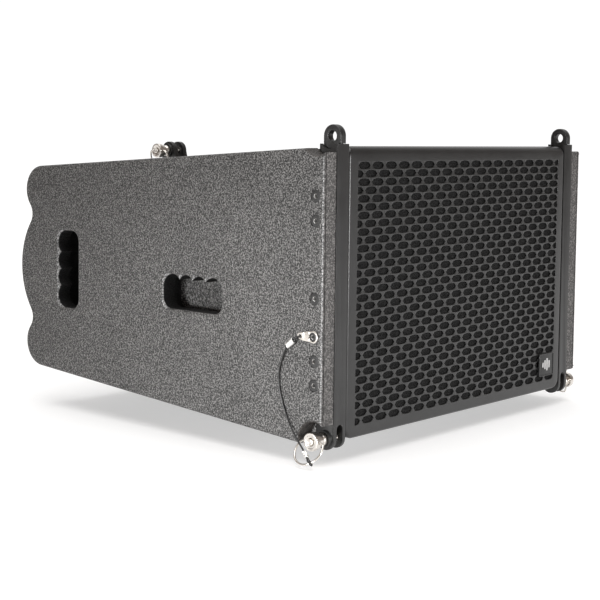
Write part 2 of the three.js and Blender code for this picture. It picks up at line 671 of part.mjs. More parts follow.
// A crimp sleeve with two bores side by side.
function crimpSleeve({ centre, axis, side, half }) {
  const shape = new THREE.Shape();
  shape.absarc(SLEEVE_SPREAD, 0, 2, -Math.PI / 2, Math.PI / 2, false);
  shape.absarc(-SLEEVE_SPREAD, 0, 2, Math.PI / 2, 1.5 * Math.PI, false);
  shape.closePath();
  [-SLEEVE_SPREAD, SLEEVE_SPREAD].forEach((x) => {
    const bore = new THREE.Path();
    bore.absarc(x, 0, WIRE_R + GAP, 0, 2 * Math.PI, true);
    shape.holes.push(bore);
  });
  const depth = 2 * half;
  const geometry = new THREE.ExtrudeGeometry(shape, { depth, bevelEnabled: false, curveSegments: 6 });
  geometry.translate(0, 0, -half);
  geometry.applyMatrix4(new THREE.Matrix4().makeBasis(side, axis.clone().cross(side), axis));
  return geometry.translate(centre.x, centre.y, centre.z);
}

// ---- Rear rigging -------------------------------------------------------------------------------
function rearCheek(x0, x1) {
  const shape = new THREE.Shape();
  shape.moveTo(BACK_REAR + GAP, -98);
  shape.lineTo(REAR_PIN_Y - EAR_R, BRACKET_BOTTOM);
  shape.absarc(REAR_PIN_Y, BRACKET_BOTTOM, EAR_R, Math.PI, 2 * Math.PI, false);
  shape.absarc(REAR_PIN_Y, REAR_PIN_Z, EAR_R, 0, Math.PI, false);
  shape.lineTo(BACK_REAR + GAP, 98);
  shape.closePath();
  return plateAcrossX(shape, x0, x1, 8);
}

function rearBracket() {
  const outX = EAR_IN_X + EAR_T;
  const web = block(-32, 32, BACK_REAR + GAP, BACK_REAR + GAP + 4, -97, 97);
  const cheeks = [rearCheek(-outX, -EAR_IN_X), rearCheek(EAR_IN_X, outX)];
  const boss = rodAlongX(BOSS_R, -outX - REAR_BOSS_H, -outX + 1, REAR_PIN_Y, REAR_PIN_Z);
  const bore = rodAlongX(BORE_R, -outX - REAR_BOSS_H - 1, outX + 1, REAR_PIN_Y, REAR_PIN_Z);
  const guide = rodAlongX(GUIDE_R + GAP, -outX - 1, outX + 1, REAR_PIN_Y, GUIDE_Z, 16);
  return cut(join([web, ...cheeks, boss]), [bore, guide]);
}

// The splay bar that reaches down to the cabinet below, with its guide slot and angle holes.
function splayBar() {
  const shape = new THREE.Shape();
  const radius = 10.5;
  shape.absarc(REAR_PIN_Y, BAR_BOTTOM + radius, radius, Math.PI, 2 * Math.PI, false);
  shape.absarc(REAR_PIN_Y, BAR_TOP - radius, radius, 0, Math.PI, false);
  shape.closePath();
  const slot = new THREE.Path();
  slot.absarc(REAR_PIN_Y, GUIDE_Z, GUIDE_R + 0.4, Math.PI, 2 * Math.PI, false);
  slot.absarc(REAR_PIN_Y, GUIDE_Z + 60, GUIDE_R + 0.4, 0, Math.PI, false);
  slot.closePath();
  shape.holes.push(slot);
  for (let i = 0; i < 3; i += 1) {
    const hole = new THREE.Path();
    hole.absarc(REAR_PIN_Y, BAR_BOTTOM + radius + 14.5 * i, BORE_R, 0, 2 * Math.PI, true);
    shape.holes.push(hole);
  }
  return plateAcrossX(shape, -BAR_HALF_T, BAR_HALF_T, 8);
}

function guideBolt() {
  const outX = EAR_IN_X + EAR_T;
  return turnedAlongX([
    [0, -outX - 5.3], [6.5, -outX - 5.3], [6.5, -outX - GAP], [GUIDE_R, -outX - GAP],
    [GUIDE_R, outX + GAP], [6, outX + GAP], [6, outX + 6.3], [0, outX + 6.3],
  ], 16).translate(0, REAR_PIN_Y, GUIDE_Z);
}

function connectorPlate() {
  const y0 = BACK_REAR + GAP;
  const plate = plateAcrossY(roundedRectangle(PLATE_X - 62, PLATE_X + 62, -42, 42, 4), y0, y0 + 2.5);
  const holes = [-24, 24].map((dx) => rodAlongY(13.3, y0 - 1, y0 + 4, PLATE_X + dx, 0, 24));
  return cut(plate, holes);
}

// A round four-pole twist-lock socket with a square flange.
function speakerSocket() {
  const y0 = BACK_REAR + GAP + 2.5 + GAP;
  const flange = plateAcrossY(roundedRectangle(-15.5, 15.5, -18.5, 18.5, 2), y0, y0 + 2);
  const barrel = rodAlongY(13, BACK_REAR - 24, y0 + 3.5, 0, 0, 24);
  const ringCut = turnedAlongY([[7.5, y0 - 16], [11.2, y0 - 16], [11.2, y0 + 5], [7.5, y0 + 5], [7.5, y0 - 16]], 24);
  return cut(join([flange, barrel]), [ringCut]);
}

// ---- Drivers ------------------------------------------------------------------------------------
function wooferBasket() {
  const front = BAFFLE_FRONT - GAP;
  return turnedAlongY([
    [WOOFER_R - 14, front], [WOOFER_R, front], [WOOFER_R, front - 6], [WOOFER_R - 14, front - 6],
    [WOOFER_R - 20, front - 2], [WOOFER_R - 22, front + 24], [82, front + 72], [42, front + 72],
    [42, front + 75], [84, front + 75], [WOOFER_R - 18, front + 24], [WOOFER_R - 14, front],
  ], 40).translate(WOOFER_X, 0, 0);
}

function wooferSurround() {
  const front = BAFFLE_FRONT - GAP;
  return turnedAlongY([
    [91, front - 5], [94, front - 1.5], [98, front + 0.3], [102, front - 1.8], [103, front - 4],
    [101.5, front - 4], [98, front - 1.2], [94.5, front - 2.8], [92, front - 6], [91, front - 5],
  ].map(([r, y]) => [r, y - 1.2]), 40).translate(WOOFER_X, 0, 0);
}

function wooferCone() {
  const front = BAFFLE_FRONT - GAP;
  return turnedAlongY([
    [0, front + 28], [22, front + 31], [37, front + 40], [90.5, front - 5.5], [90.5, front - 3.5],
    [39, front + 42], [39, front + 88], [37.5, front + 88], [37.5, front + 42], [22, front + 33],
    [0, front + 30],
  ], 40).translate(WOOFER_X, 0, 0);
}

// The magnet system with the ring gap that the voice coil moves in.
function wooferMagnet() {
  const front = BAFFLE_FRONT - GAP + 75 + GAP;
  return turnedAlongY([
    [0, front], [36, front], [36, front + 24], [41, front + 24], [41, front], [58, front],
    [58, front + 8], [90, front + 10], [90, front + 30], [70, front + 38], [0, front + 38],
  ], 32).translate(WOOFER_X, 0, 0);
}

// A straight-walled loft through rectangles of [y, half width, half height].
function rectangularLoft(sections) {
  const positions = [];
  const index = [];
  sections.forEach(([y, w, h]) => {
    positions.push(-w, y, -h, w, y, -h, w, y, h, -w, y, h);
  });
  for (let i = 0; i + 1 < sections.length; i += 1) {
    for (let j = 0; j < 4; j += 1) {
      const a = 4 * i + j;
      const b = 4 * i + ((j + 1) % 4);
      index.push(a, b, b + 4, a, b + 4, a + 4);
    }
  }
  const last = 4 * (sections.length - 1);
  index.push(0, 2, 1, 0, 3, 2, last, last + 1, last + 2, last, last + 2, last + 3);
  const geometry = new THREE.BufferGeometry();
  geometry.setAttribute('position', new THREE.Float32BufferAttribute(positions, 3));
  geometry.setIndex(index);
  return geometry;
}

function waveguide() {
  const front = BAFFLE_FRONT - GAP;
  const steps = 6;
  const flare = (extra) => {
    const sections = [];
    for (let i = 0; i <= steps; i += 1) {
      const t = i / steps;
      const shrink = (1 - t) ** 1.6;
      const w = THREE.MathUtils.lerp(THROAT_R, HORN_HALF_W - 6, shrink);
      const h = THREE.MathUtils.lerp(THROAT_R, HORN_HALF_H - 6, (1 - t) ** 1.1);
      sections.push([front - 3 + (HORN_DEPTH + 3) * t, w + extra, h + extra]);
    }
    return sections;
  };
  const outer = rectangularLoft(flare(3));
  const inner = rectangularLoft([
    [front - 5, HORN_HALF_W - 6, HORN_HALF_H - 6], ...flare(0), [front + HORN_DEPTH + 2, THROAT_R, THROAT_R],
  ]);
  const flange = block(-HORN_HALF_W - 5, HORN_HALF_W + 5, front - 5, front, -HORN_HALF_H - 7, HORN_HALF_H + 7);
  return cut(join([outer, flange]), [inner]).translate(HORN_X, 0, 0);
}

function compressionDriver() {
  const front = BAFFLE_FRONT - GAP + HORN_DEPTH + GAP;
  return turnedAlongY([
    [0, front + 3], [THROAT_R, front + 3], [THROAT_R, front], [40, front], [60, front + 8], [66, front + 10],
    [66, front + 34], [58, front + 38], [50, front + 54], [0, front + 56],
  ], 32).translate(HORN_X, 0, 0);
}

function crossoverBoard() {
  const rear = BACK_FRONT - GAP;
  const board = block(60, 180, rear - 4, rear, -40, 40);
  const coils = [[90, -14], [135, 14]].map(([x, z]) => rodAlongY(18, rear - 28, rear - 2, x, z, 18));
  return join([board, ...coils]);
}

// ---- Assembly -----------------------------------------------------------------------------------
const cabinet = new THREE.Group();

function add(name, geometry, look, parent = cabinet) {
  const mesh = new THREE.Mesh(weld(geometry), new THREE.MeshStandardMaterial(look));
  mesh.name = name;
  parent.add(mesh);
  return mesh;
}

function addPair(name, geometry, look) {
  add(name.replace('SIDE', 'left'), geometry, look);
  add(name.replace('SIDE', 'right'), mirrored(geometry), look);
}

// A ball-lock pin on its seat, pointing out of the cabinet. Its roll is a turn about its own axis,
// and its ring turns about the head's cross hole by the given tilt.
function addPin(name, seat, outward, roll, ringTilt) {
  const pin = new THREE.Group();
  pin.position.set(...seat);
  pin.rotation.set(roll, 0, outward > 0 ? Math.PI : 0, 'ZYX');
  cabinet.add(pin);
  add(name, pinBody(), NICKEL, pin);
  add(name + '_button', pinButton(), NICKEL, pin);
  const ring = add(name + '_ring', pinRing(), NICKEL, pin);
  ring.position.x = -BARREL_H - HEAD_H / 2;
  ring.rotation.y = ringTilt;
}

addPair('side_panel_SIDE', sidePanel(), PAINT);
add('top_panel', slopedPanel(1), PAINT);
add('bottom_panel', slopedPanel(-1), PAINT);
add('back_panel', backPanel(), PAINT);
add('front_baffle', frontBaffle(), WOOD);
addPair('hand_box_middle_SIDE', handBox(MIDDLE_SLOT), PAINT);
addPair('hand_box_rear_SIDE', handBox(REAR_SLOT), PAINT);

add('grille', grille(), STEEL_BLACK);
add('grille_foam', grilleFoam(), { color: 0x1d1d1e, roughness: 1, metalness: 0 });
add('badge', badge(), PLASTIC);

addPair('front_rail_SIDE', frontRail(), STEEL_BLACK);
addPair('front_tongue_SIDE', frontTongue(), STEEL_BLACK);
SCREW_Z.forEach((z, i) => {
  const onTab = i === TAB_SCREW;
  const made = onTab ? sideScrew(TAB_HEAD_R, 1.9) : sideScrew(SCREW_HEAD_R, 2.3);
  const screw = made.translate(-HALF_W - (onTab ? GAP + 2 : 0), SCREW_Y, z);
  addPair(`side_screw_SIDE_${i + 1}`, screw, STEEL_BLACK);
});

const frontSeatX = RAIL_OUT_X + BOSS_H + GAP;
const rearSeatX = -(EAR_IN_X + EAR_T + REAR_BOSS_H + GAP);
addPin('front_pin_left', [-frontSeatX, PIN_Y, PIN_Z], -1, 0, LEFT_RING_TILT);
addPin('front_pin_right', [frontSeatX, PIN_Y, PIN_Z], 1, -Math.PI / 2, RIGHT_RING_TILT);
addPin('rear_pin', [rearSeatX, REAR_PIN_Y, REAR_PIN_Z], -1, 0, REAR_RING_TILT);

addPair('lanyard_tab_SIDE', lanyardTab(), NICKEL);
const hingeX = frontSeatX + BARREL_H + HEAD_H / 2;
const leftHinge = new THREE.Vector3(-hingeX, PIN_Y, PIN_Z);
const rightHinge = new THREE.Vector3(hingeX, PIN_Y, PIN_Z);
const leftHang = new THREE.Vector3(-Math.sin(LEFT_RING_TILT), 0, -Math.cos(LEFT_RING_TILT));
const rightHang = new THREE.Vector3(Math.sin(RIGHT_RING_TILT), Math.cos(RIGHT_RING_TILT), 0);
const leftSleeve = ringSleeve(LEFT_RUN, onRing(leftHinge, AXIS_Y, leftHang, LEFT_EYE_ANGLE));
const rightSleeve = ringSleeve(RIGHT_RUN, onRing(rightHinge, AXIS_Z, rightHang, RIGHT_EYE_ANGLE));
add('lanyard_wire_left', lanyardWire(-1, LEFT_RUN, leftSleeve), PLASTIC);
add('lanyard_wire_right', lanyardWire(1, RIGHT_RUN, rightSleeve), PLASTIC);
addPair('tab_sleeve_SIDE', crimpSleeve(tabSleeve(-1)), NICKEL);
add('ring_sleeve_left', crimpSleeve(leftSleeve), NICKEL);
add('ring_sleeve_right', crimpSleeve(rightSleeve), NICKEL);

add('rear_bracket', rearBracket(), STEEL_BLACK);
add('splay_bar', splayBar(), STEEL_BLACK);
add('guide_bolt', guideBolt(), STEEL_BLACK);
add('connector_plate', connectorPlate(), STEEL_BLACK);
add('speaker_socket_1', speakerSocket().translate(PLATE_X - 24, 0, 0), PLASTIC);
add('speaker_socket_2', speakerSocket().translate(PLATE_X + 24, 0, 0), PLASTIC);

add('woofer_basket', wooferBasket(), STEEL_BLACK);
add('woofer_surround', wooferSurround(), PLASTIC);
add('woofer_cone', wooferCone(), PLASTIC);
add('woofer_magnet', wooferMagnet(), STEEL_BLACK);
add('waveguide', waveguide(), PLASTIC);
add('compression_driver', compressionDriver(), STEEL_BLACK);
add('crossover_board', crossoverBoard(), { color: 0x1f4d2b, roughness: 0.6, metalness: 0 });

const lineArraySpeaker = new THREE.Group();
cabinet.position.set(0, -PIN_Y, -LUG_Z);
lineArraySpeaker.add(cabinet);

export default lineArraySpeaker;
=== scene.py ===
"""Looks for one line array loudspeaker cabinet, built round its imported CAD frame."""

import math

import bmesh
import bpy
from mathutils import Matrix, Vector, noise


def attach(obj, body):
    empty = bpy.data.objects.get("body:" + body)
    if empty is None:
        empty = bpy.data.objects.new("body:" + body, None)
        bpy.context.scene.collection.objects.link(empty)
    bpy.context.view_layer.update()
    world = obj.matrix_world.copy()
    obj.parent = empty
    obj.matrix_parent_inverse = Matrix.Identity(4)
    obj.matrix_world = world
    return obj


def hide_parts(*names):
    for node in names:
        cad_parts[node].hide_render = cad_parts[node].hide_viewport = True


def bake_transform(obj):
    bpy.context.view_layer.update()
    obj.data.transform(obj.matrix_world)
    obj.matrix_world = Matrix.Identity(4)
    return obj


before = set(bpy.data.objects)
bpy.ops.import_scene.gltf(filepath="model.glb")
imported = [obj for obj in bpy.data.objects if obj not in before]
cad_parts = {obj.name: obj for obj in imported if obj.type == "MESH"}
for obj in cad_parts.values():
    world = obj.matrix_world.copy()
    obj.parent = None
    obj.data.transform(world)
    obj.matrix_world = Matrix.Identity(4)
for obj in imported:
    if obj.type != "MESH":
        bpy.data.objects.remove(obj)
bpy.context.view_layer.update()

# ---- Dimensions, in millimetres, as in part.mjs: X across, Y = 0 at the front, Z = 0 halfway up ----
ORIGIN = Vector((0.0, 10.2, 160.5))
HALF_W = 242.5
HALF_H = 150.0
SIDE_T = 19.0
PANEL_T = 18.0
INNER_X = HALF_W - SIDE_T
GAP = 0.3
TAPER = math.radians(3.72)
PIN_Y, PIN_Z, LUG_Z = 10.2, -143.5, 160.5
FLOOR_Z = -168.4


def at(x, y, z):
    """A place in the drawing's millimetres, as a point in the row frame."""
    return (Vector((x, y, z)) - ORIGIN) / 1000.0


# ---- Camera ---------------------------------------------------------------------------------------
def make_camera():
    yaw, pitch, roll = math.radians(48.24), math.radians(-4.41), math.radians(0.65)
    forward = Vector((math.sin(yaw) * math.cos(pitch), math.cos(yaw) * math.cos(pitch), math.sin(pitch)))
    level = Vector((math.cos(yaw), -math.sin(yaw), 0.0))
    upright = level.cross(forward)
    right = level * math.cos(roll) + upright * math.sin(roll)
    up = upright * math.cos(roll) - level * math.sin(roll)
    data = bpy.data.cameras.new("camera")
    data.sensor_width = 36.0
    data.lens = 81.07
    data.shift_y = -0.102
    data.clip_start = 0.05
    data.clip_end = 50.0
    camera = bpy.data.objects.new("camera", data)
    bpy.context.scene.collection.objects.link(camera)
    turn = Matrix((right, up, -forward)).transposed().to_4x4()
    camera.matrix_world = Matrix.Translation(at(-1241.7, -862.1, 161.4)) @ turn
    bpy.context.scene.camera = camera


make_camera()


# ---- Materials ------------------------------------------------------------------------------------
class Nodes:
    """A material's node tree, with short calls to add and link nodes."""

    def __init__(self, name):
        self.material = bpy.data.materials.new(name)
        self.material.use_nodes = True
        self.tree = self.material.node_tree
        self.shader = self.tree.nodes["Principled BSDF"]

    def add(self, kind, **values):
        node = self.tree.nodes.new(kind)
        for key, value in values.items():
            if key.startswith("in_"):
                node.inputs[key[3:].replace("_", " ")].default_value = value
            else:
                setattr(node, key, value)
        return node

    def link(self, output, target):
        self.tree.links.new(output, target)

    def place(self):
        return self.add("ShaderNodeTexCoord").outputs["Object"]

    def noise(self, scale, detail=2.0, roughness=0.5, distortion=0.0, vector=None):
        node = self.add("ShaderNodeTexNoise", in_Scale=scale, in_Detail=detail,
                        in_Roughness=roughness, in_Distortion=distortion)
        self.link(vector or self.place(), node.inputs["Vector"])
        return node.outputs["Fac"]

    def cells(self, scale, feature="F1", vector=None):
        node = self.add("ShaderNodeTexVoronoi", feature=feature, in_Scale=scale)
        self.link(vector or self.place(), node.inputs["Vector"])
        return node.outputs["Distance"]

    def ramp(self, value, stops):
        node = self.add("ShaderNodeValToRGB")
        elements = node.color_ramp.elements
        while len(elements) < len(stops):
            elements.new(0.5)
        for element, (position, colour) in zip(elements, stops):
            element.position = position
            element.color = (*colour, 1.0) if hasattr(colour, "__len__") else (colour, colour, colour, 1.0)
        self.link(value, node.inputs["Fac"])
        return node.outputs["Color"]

    def spread(self, value, low, high, from_low=0.0, from_high=1.0):
        node = self.add("ShaderNodeMapRange", in_From_Min=from_low, in_From_Max=from_high,
                        in_To_Min=low, in_To_Max=high)
        self.link(value, node.inputs["Value"])
        return node.outputs["Result"]

    def maths(self, operation, a, b):
        node = self.add("ShaderNodeMath", operation=operation)
        for socket, value in zip(node.inputs, (a, b)):
            if isinstance(value, (int, float)):
                socket.default_value = value
            else:
                self.link(value, socket)
        return node.outputs["Value"]

    def mix(self, factor, a, b, blend_type="MIX"):
        node = self.add("ShaderNodeMix", data_type="RGBA", blend_type=blend_type)
        if isinstance(factor, (int, float)):
            node.inputs["Factor"].default_value = factor
        else:
            self.link(factor, node.inputs["Factor"])
        for socket, value in ((node.inputs[6], a), (node.inputs[7], b)):
            if hasattr(value, "links") or isinstance(value, bpy.types.NodeSocket):
                self.link(value, socket)
            else:
                socket.default_value = (*value, 1.0)
        return node.outputs[2]

    def bump(self, height, strength, distance, normal=None):
        node = self.add("ShaderNodeBump", in_Strength=strength, in_Distance=distance)
        self.link(height, node.inputs["Height"])
        if normal is not None:
            self.link(normal, node.inputs["Normal"])
        return node.outputs["Normal"]

    def finish(self, colour=None, roughness=None, normal=None, **constants):
        for key, value in constants.items():
            self.shader.inputs[key.replace("_", " ")].default_value = value
        for socket, value in (("Base Color", colour), ("Roughness", roughness), ("Normal", normal)):
            if value is not None:
                self.link(value, self.shader.inputs[socket])
        return self.material


def speckled_paint(name, dark, light, warm=(1.0, 1.0, 1.0)):
    """Thick sprayed coating: a pebbled skin, its light grains painted highlights on the pebble tops."""
    n = Nodes(name)
    grain = n.noise(640.0, 2.0, 0.6)
    pebble = n.cells(430.0)
    patches = n.noise(9.0, 3.0, 0.55)
    # The light grains are painted highlights where the bump raises the pebbles; the dark grains are the black coat.
    speckle_with_painted_highlights = n.ramp(grain, [(0.38, tuple(c * dark for c in warm)), (0.5, tuple(c * (dark + light) * 0.25 for c in warm)),
                          (0.62, tuple(c * light for c in warm))])
    wear = n.ramp(patches, [(0.3, 0.82), (0.7, 1.0)])
    colour = n.mix(1.0, speckle_with_painted_highlights, wear, "MULTIPLY")
    height = n.maths("ADD", n.spread(grain, 0.0, 0.6), n.spread(pebble, 0.4, 0.0, 0.0, 0.8))
    normal = n.bump(height, 0.85, 0.0011)
    return n.finish(colour, n.spread(grain, 0.62, 0.44, 0.35, 0.7), normal, Specular_IOR_Level=0.5)


def coated_steel(name, dark, light, gloss=(0.32, 0.5)):
    """Satin black coating on steel, with faint mottling and a fine orange peel."""
    n = Nodes(name)
    mottle = n.noise(38.0, 5.0, 0.6)
    fine = n.noise(900.0, 2.0, 0.5)
    colour = n.ramp(mottle, [(0.3, dark), (0.75, light)])
    normal = n.bump(fine, 0.16, 0.0004)
    rough = n.spread(n.maths("ADD", n.spread(mottle, 0.0, 0.6), n.spread(fine, 0.0, 0.4)), gloss[0], gloss[1])
    return n.finish(colour, rough, normal, Metallic=0.0, Specular_IOR_Level=0.55)


def bright_nickel(name):
    """Bright plating with a faint warm haze and fine turning marks."""
    n = Nodes(name)
    haze = n.noise(60.0, 3.0, 0.6)
    stretched = n.add("ShaderNodeMapping", in_Scale=(14.0, 1.0, 1.0))
    n.link(n.place(), stretched.inputs["Vector"])
    lines = n.noise(300.0, 2.0, 0.5, vector=stretched.outputs["Vector"])
    colour = n.ramp(haze, [(0.25, (0.66, 0.62, 0.57)), (0.7, (0.84, 0.81, 0.77))])
    normal = n.bump(lines, 0.03, 0.0002)
    return n.finish(colour, n.spread(haze, 0.24, 0.34, 0.3, 0.75), normal, Metallic=1.0)


def crimped_metal(name):
    n = Nodes(name)
    dents = n.cells(520.0)
    haze = n.noise(260.0, 3.0, 0.6)
    colour = n.ramp(haze, [(0.3, (0.72, 0.71, 0.69)), (0.7, (0.95, 0.94, 0.92))])
    normal = n.bump(dents, 0.25, 0.0005)
    return n.finish(colour, n.spread(haze, 0.25, 0.45), normal, Metallic=1.0)


def open_foam(name):
    n = Nodes(name)
    pores = n.cells(560.0)
    clumps = n.noise(70.0, 4.0, 0.6)
    colour = n.mix(1.0, n.ramp(pores, [(0.1, 0.004), (0.7, 0.02)]), n.ramp(clumps, [(0.3, 0.75), (0.7, 1.0)]),
                   "MULTIPLY")
    normal = n.bump(pores, 0.9, 0.0015)
    return n.finish(colour, n.spread(clumps, 0.9, 1.0), normal, Specular_IOR_Level=0.15)


def moulded_plastic(name, dark, light, gloss=(0.35, 0.5)):
    n = Nodes(name)
    grain = n.noise(1100.0, 2.0, 0.5)
    mottle = n.noise(45.0, 3.0, 0.5)
    colour = n.ramp(mottle, [(0.3, dark), (0.7, light)])
    normal = n.bump(grain, 0.12, 0.0003)
    return n.finish(colour, n.spread(mottle, gloss[0], gloss[1], 0.3, 0.7), normal)


def stained_ply(name):
    n = Nodes(name)
    stretch = n.add("ShaderNodeMapping", in_Scale=(1.0, 6.0, 22.0))
    n.link(n.place(), stretch.inputs["Vector"])
    grain = n.noise(22.0, 6.0, 0.65, 0.6, stretch.outputs["Vector"])
    colour = n.ramp(grain, [(0.3, (0.012, 0.01, 0.009)), (0.7, (0.035, 0.029, 0.023))])
    normal = n.bump(grain, 0.3, 0.0008)
    return n.finish(colour, n.spread(grain, 0.75, 0.92), normal)


def jacketed_wire(name):
    n = Nodes(name)
    twist = n.noise(700.0, 2.0, 0.5)
    colour = n.ramp(twist, [(0.3, 0.006), (0.7, 0.016)])
    normal = n.bump(twist, 0.15, 0.0003)
    return n.finish(colour, n.spread(twist, 0.22, 0.4), normal)


def circuit_green(name):
    n = Nodes(name)
    tracks = n.cells(160.0, "DISTANCE_TO_EDGE")
    colour = n.ramp(tracks, [(0.02, (0.03, 0.16, 0.06)), (0.06, (0.008, 0.07, 0.02))])
    normal = n.bump(tracks, 0.2, 0.0004)
    return n.finish(colour, n.spread(tracks, 0.3, 0.45), normal)


PAINT = speckled_paint("speckled_paint", 0.004, 0.208, (1.0, 0.98, 0.96))
# Painted shade: a darker, smoother, brownish copy of the paint for the notch walls.
PAINT_NOTCH_SHADE = speckled_paint("speckled_paint_notch_shade", 0.03, 0.07, (1.0, 0.88, 0.8))
RIGGING = coated_steel("rigging_coating", 0.012, 0.022)
GRILLE = coated_steel("grille_coating", 0.012, 0.02, (0.24, 0.36))
SCREW = coated_steel("screw_oxide", 0.012, 0.03, (0.3, 0.46))
# Painted glint: bright bare metal on the socket walls, for the light caught inside each socket.
SCREW_SOCKET_GLINT = crimped_metal("screw_socket_painted_glint")
# Painted shade: near-black paint for the slot, tray and seam walls, and for the rear tray's floor.
SHADOW_COAT = speckled_paint("thin_black_overspray", 0.004, 0.012)
# Painted light: a lighter, flatter copy of the paint for the forward-facing front faces.
PAINT_FRONT_LIGHT = speckled_paint("speckled_paint_front_painted_light", 0.045, 0.2, (1.0, 0.955, 0.93))
# Painted highlight: a bright copy of the paint for the front corners and the slot lips.
PAINT_HIGHLIGHT = speckled_paint("speckled_paint_painted_highlight", 0.08, 0.52)
NICKEL = bright_nickel("bright_nickel")
SLEEVE = crimped_metal("crimped_metal")
FOAM = open_foam("open_foam")
PLASTIC = moulded_plastic("moulded_plastic", 0.008, 0.018)
BADGE = moulded_plastic("badge_gloss", 0.003, 0.006, (0.3, 0.4))
SILVER = moulded_plastic("emblem_silver", 0.42, 0.58, (0.3, 0.45))
PLY = stained_ply("stained_ply")
WIRE = jacketed_wire("jacketed_wire")
CIRCUIT = circuit_green("circuit_board")
CONE = moulded_plastic("pressed_paper", 0.008, 0.02, (0.7, 0.9))
RUBBER = moulded_plastic("surround_rubber", 0.006, 0.012, (0.55, 0.75))


# ---- Mesh helpers ---------------------------------------------------------------------------------
def finish_piece(name, mesh, material, body, nodes=(), smooth_angle=35.0):
    mesh.transform(Matrix.Scale(0.001, 4) @ Matrix.Translation(-ORIGIN))
    mesh.materials.clear()
    for each in material if isinstance(material, (list, tuple)) else [material]:
        mesh.materials.append(each)
    mesh.shade_smooth()
    mesh.set_sharp_from_angle(angle=math.radians(smooth_angle))
    piece = bpy.data.objects.new(name, mesh)
    bpy.context.scene.collection.objects.link(piece)
    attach(piece, body)
    if nodes:
        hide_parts(*nodes)
    return piece


def mesh_of(bm, name="mesh"):
    bmesh.ops.remove_doubles(bm, verts=bm.verts, dist=0.002)
    bmesh.ops.recalc_face_normals(bm, faces=bm.faces)
    mesh = bpy.data.meshes.new(name)
    bm.to_mesh(mesh)
    bm.free()
    return mesh


def arc(cx, cy, radius, start, end, steps=None):
    """Points along an arc, in order from start to end, in radians."""
    steps = steps or max(3, int(abs(end - start) * (6 + radius * 0.12)))
    return [(cx + radius * math.cos(start + (end - start) * i / steps),
             cy + radius * math.sin(start + (end - start) * i / steps)) for i in range(steps + 1)]


def rounded_rectangle(u0, u1, v0, v1, radius, steps=6):
    q = math.pi / 2
    return (arc(u1 - radius, v0 + radius, radius, -q, 0, steps) + arc(u1 - radius, v1 - radius, radius, 0, q, steps)
            + arc(u0 + radius, v1 - radius, radius, q, 2 * q, steps)
            + arc(u0 + radius, v0 + radius, radius, 2 * q, 3 * q, steps))


ACROSS_X = Matrix(((0, 0, 1, 0), (1, 0, 0, 0), (0, 1, 0, 0), (0, 0, 0, 1)))
ACROSS_Y = Matrix(((1, 0, 0, 0), (0, 0, -1, 0), (0, 1, 0, 0), (0, 0, 0, 1)))


def plate_mesh(loops, low, high, bevel, direction=ACROSS_X, resolution=3):
    """A plate with rounded-over edges. Its loops are an outline and its holes, and it lies from low to high."""
    curve = bpy.data.curves.new("outline", "CURVE")
    curve.dimensions = "2D"
    curve.fill_mode = "BOTH"
    curve.extrude = (high - low) / 2 - bevel
    curve.bevel_depth = bevel
    curve.bevel_resolution = resolution
    curve.offset = -bevel
    for loop in loops:
        kept = [p for i, p in enumerate(loop) if math.dist(p, loop[i - 1]) > 0.02]
        spline = curve.splines.new("POLY")
        spline.points.add(len(kept) - 1)
        for point, (u, v) in zip(spline.points, kept):
            point.co = (u, v, 0.0, 1.0)
        spline.use_cyclic_u = True
    holder = bpy.data.objects.new("outline", curve)
    bpy.context.scene.collection.objects.link(holder)
    bpy.context.view_layer.update()
    mesh = bpy.data.meshes.new_from_object(holder.evaluated_get(bpy.context.evaluated_depsgraph_get()))
    bpy.data.objects.remove(holder)
    bpy.data.curves.remove(curve)
    bm = bmesh.new()
    bm.from_mesh(mesh)
    bpy.data.meshes.remove(mesh)
    middle = (low + high) / 2
    shift = Vector((middle, 0, 0)) if direction is ACROSS_X else Vector((0, middle, 0))
    bm.transform(Matrix.Translation(shift) @ direction)
    return mesh_of(bm)


def loft(rings, cap_start=True, cap_end=True):
    """A closed skin through rings that all have the same number of points."""
    bm = bmesh.new()
    rows = [[bm.verts.new(p) for p in ring] for ring in rings]
    for lower, upper in zip(rows, rows[1:]):
        for i in range(len(lower)):
            bm.faces.new((lower[i - 1], lower[i], upper[i], upper[i - 1]))
    if cap_start:
        bm.faces.new(rows[0])
    if cap_end:
        bm.faces.new(rows[-1])
    return mesh_of(bm)


def turned(profile, centre, direction, segments=48):
    """A solid of revolution. Its profile is [radius, height] with the height along direction from centre."""
    axis = Vector(direction).normalized()
    side = axis.orthogonal().normalized()
    other = axis.cross(side)
    rings = []
    for radius, height in profile:
        rings.append([Vector(centre) + axis * height + (side * math.cos(a) + other * math.sin(a)) * max(radius, 1e-4)
                      for a in (2 * math.pi * i / segments for i in range(segments))])
    return loft(rings)


def rounded_profile(points, radius=0.5, steps=3):
    """Rounds the inner corners of a turned profile."""
    result = [points[0]]
    for before, here, after in zip(points, points[1:], points[2:]):
        a, b, c = Vector(before), Vector(here), Vector(after)
        if (a - b).length < 1e-6 or (c - b).length < 1e-6:
            continue
        r = min(radius, (a - b).length * 0.45, (c - b).length * 0.45)
        first, last = b + (a - b).normalized() * r, b + (c - b).normalized() * r
        for i in range(steps + 1):
            t = i / steps
            point = first * (1 - t) ** 2 + b * 2 * t * (1 - t) + last * t ** 2
            result.append(tuple(point))
    result.append(points[-1])
    return result


def combined(meshes):
    """One mesh of several closed ones."""
    bm = bmesh.new()
    for mesh in meshes:
        bm.from_mesh(mesh)
        bpy.data.meshes.remove(mesh)
    whole = bpy.data.meshes.new("mesh")
    bm.to_mesh(whole)
    bm.free()
    return whole


def mirrored(mesh):
    copy = mesh.copy()
    copy.transform(Matrix.Scale(-1, 4, (1, 0, 0)))
    copy.flip_normals()
    return copy


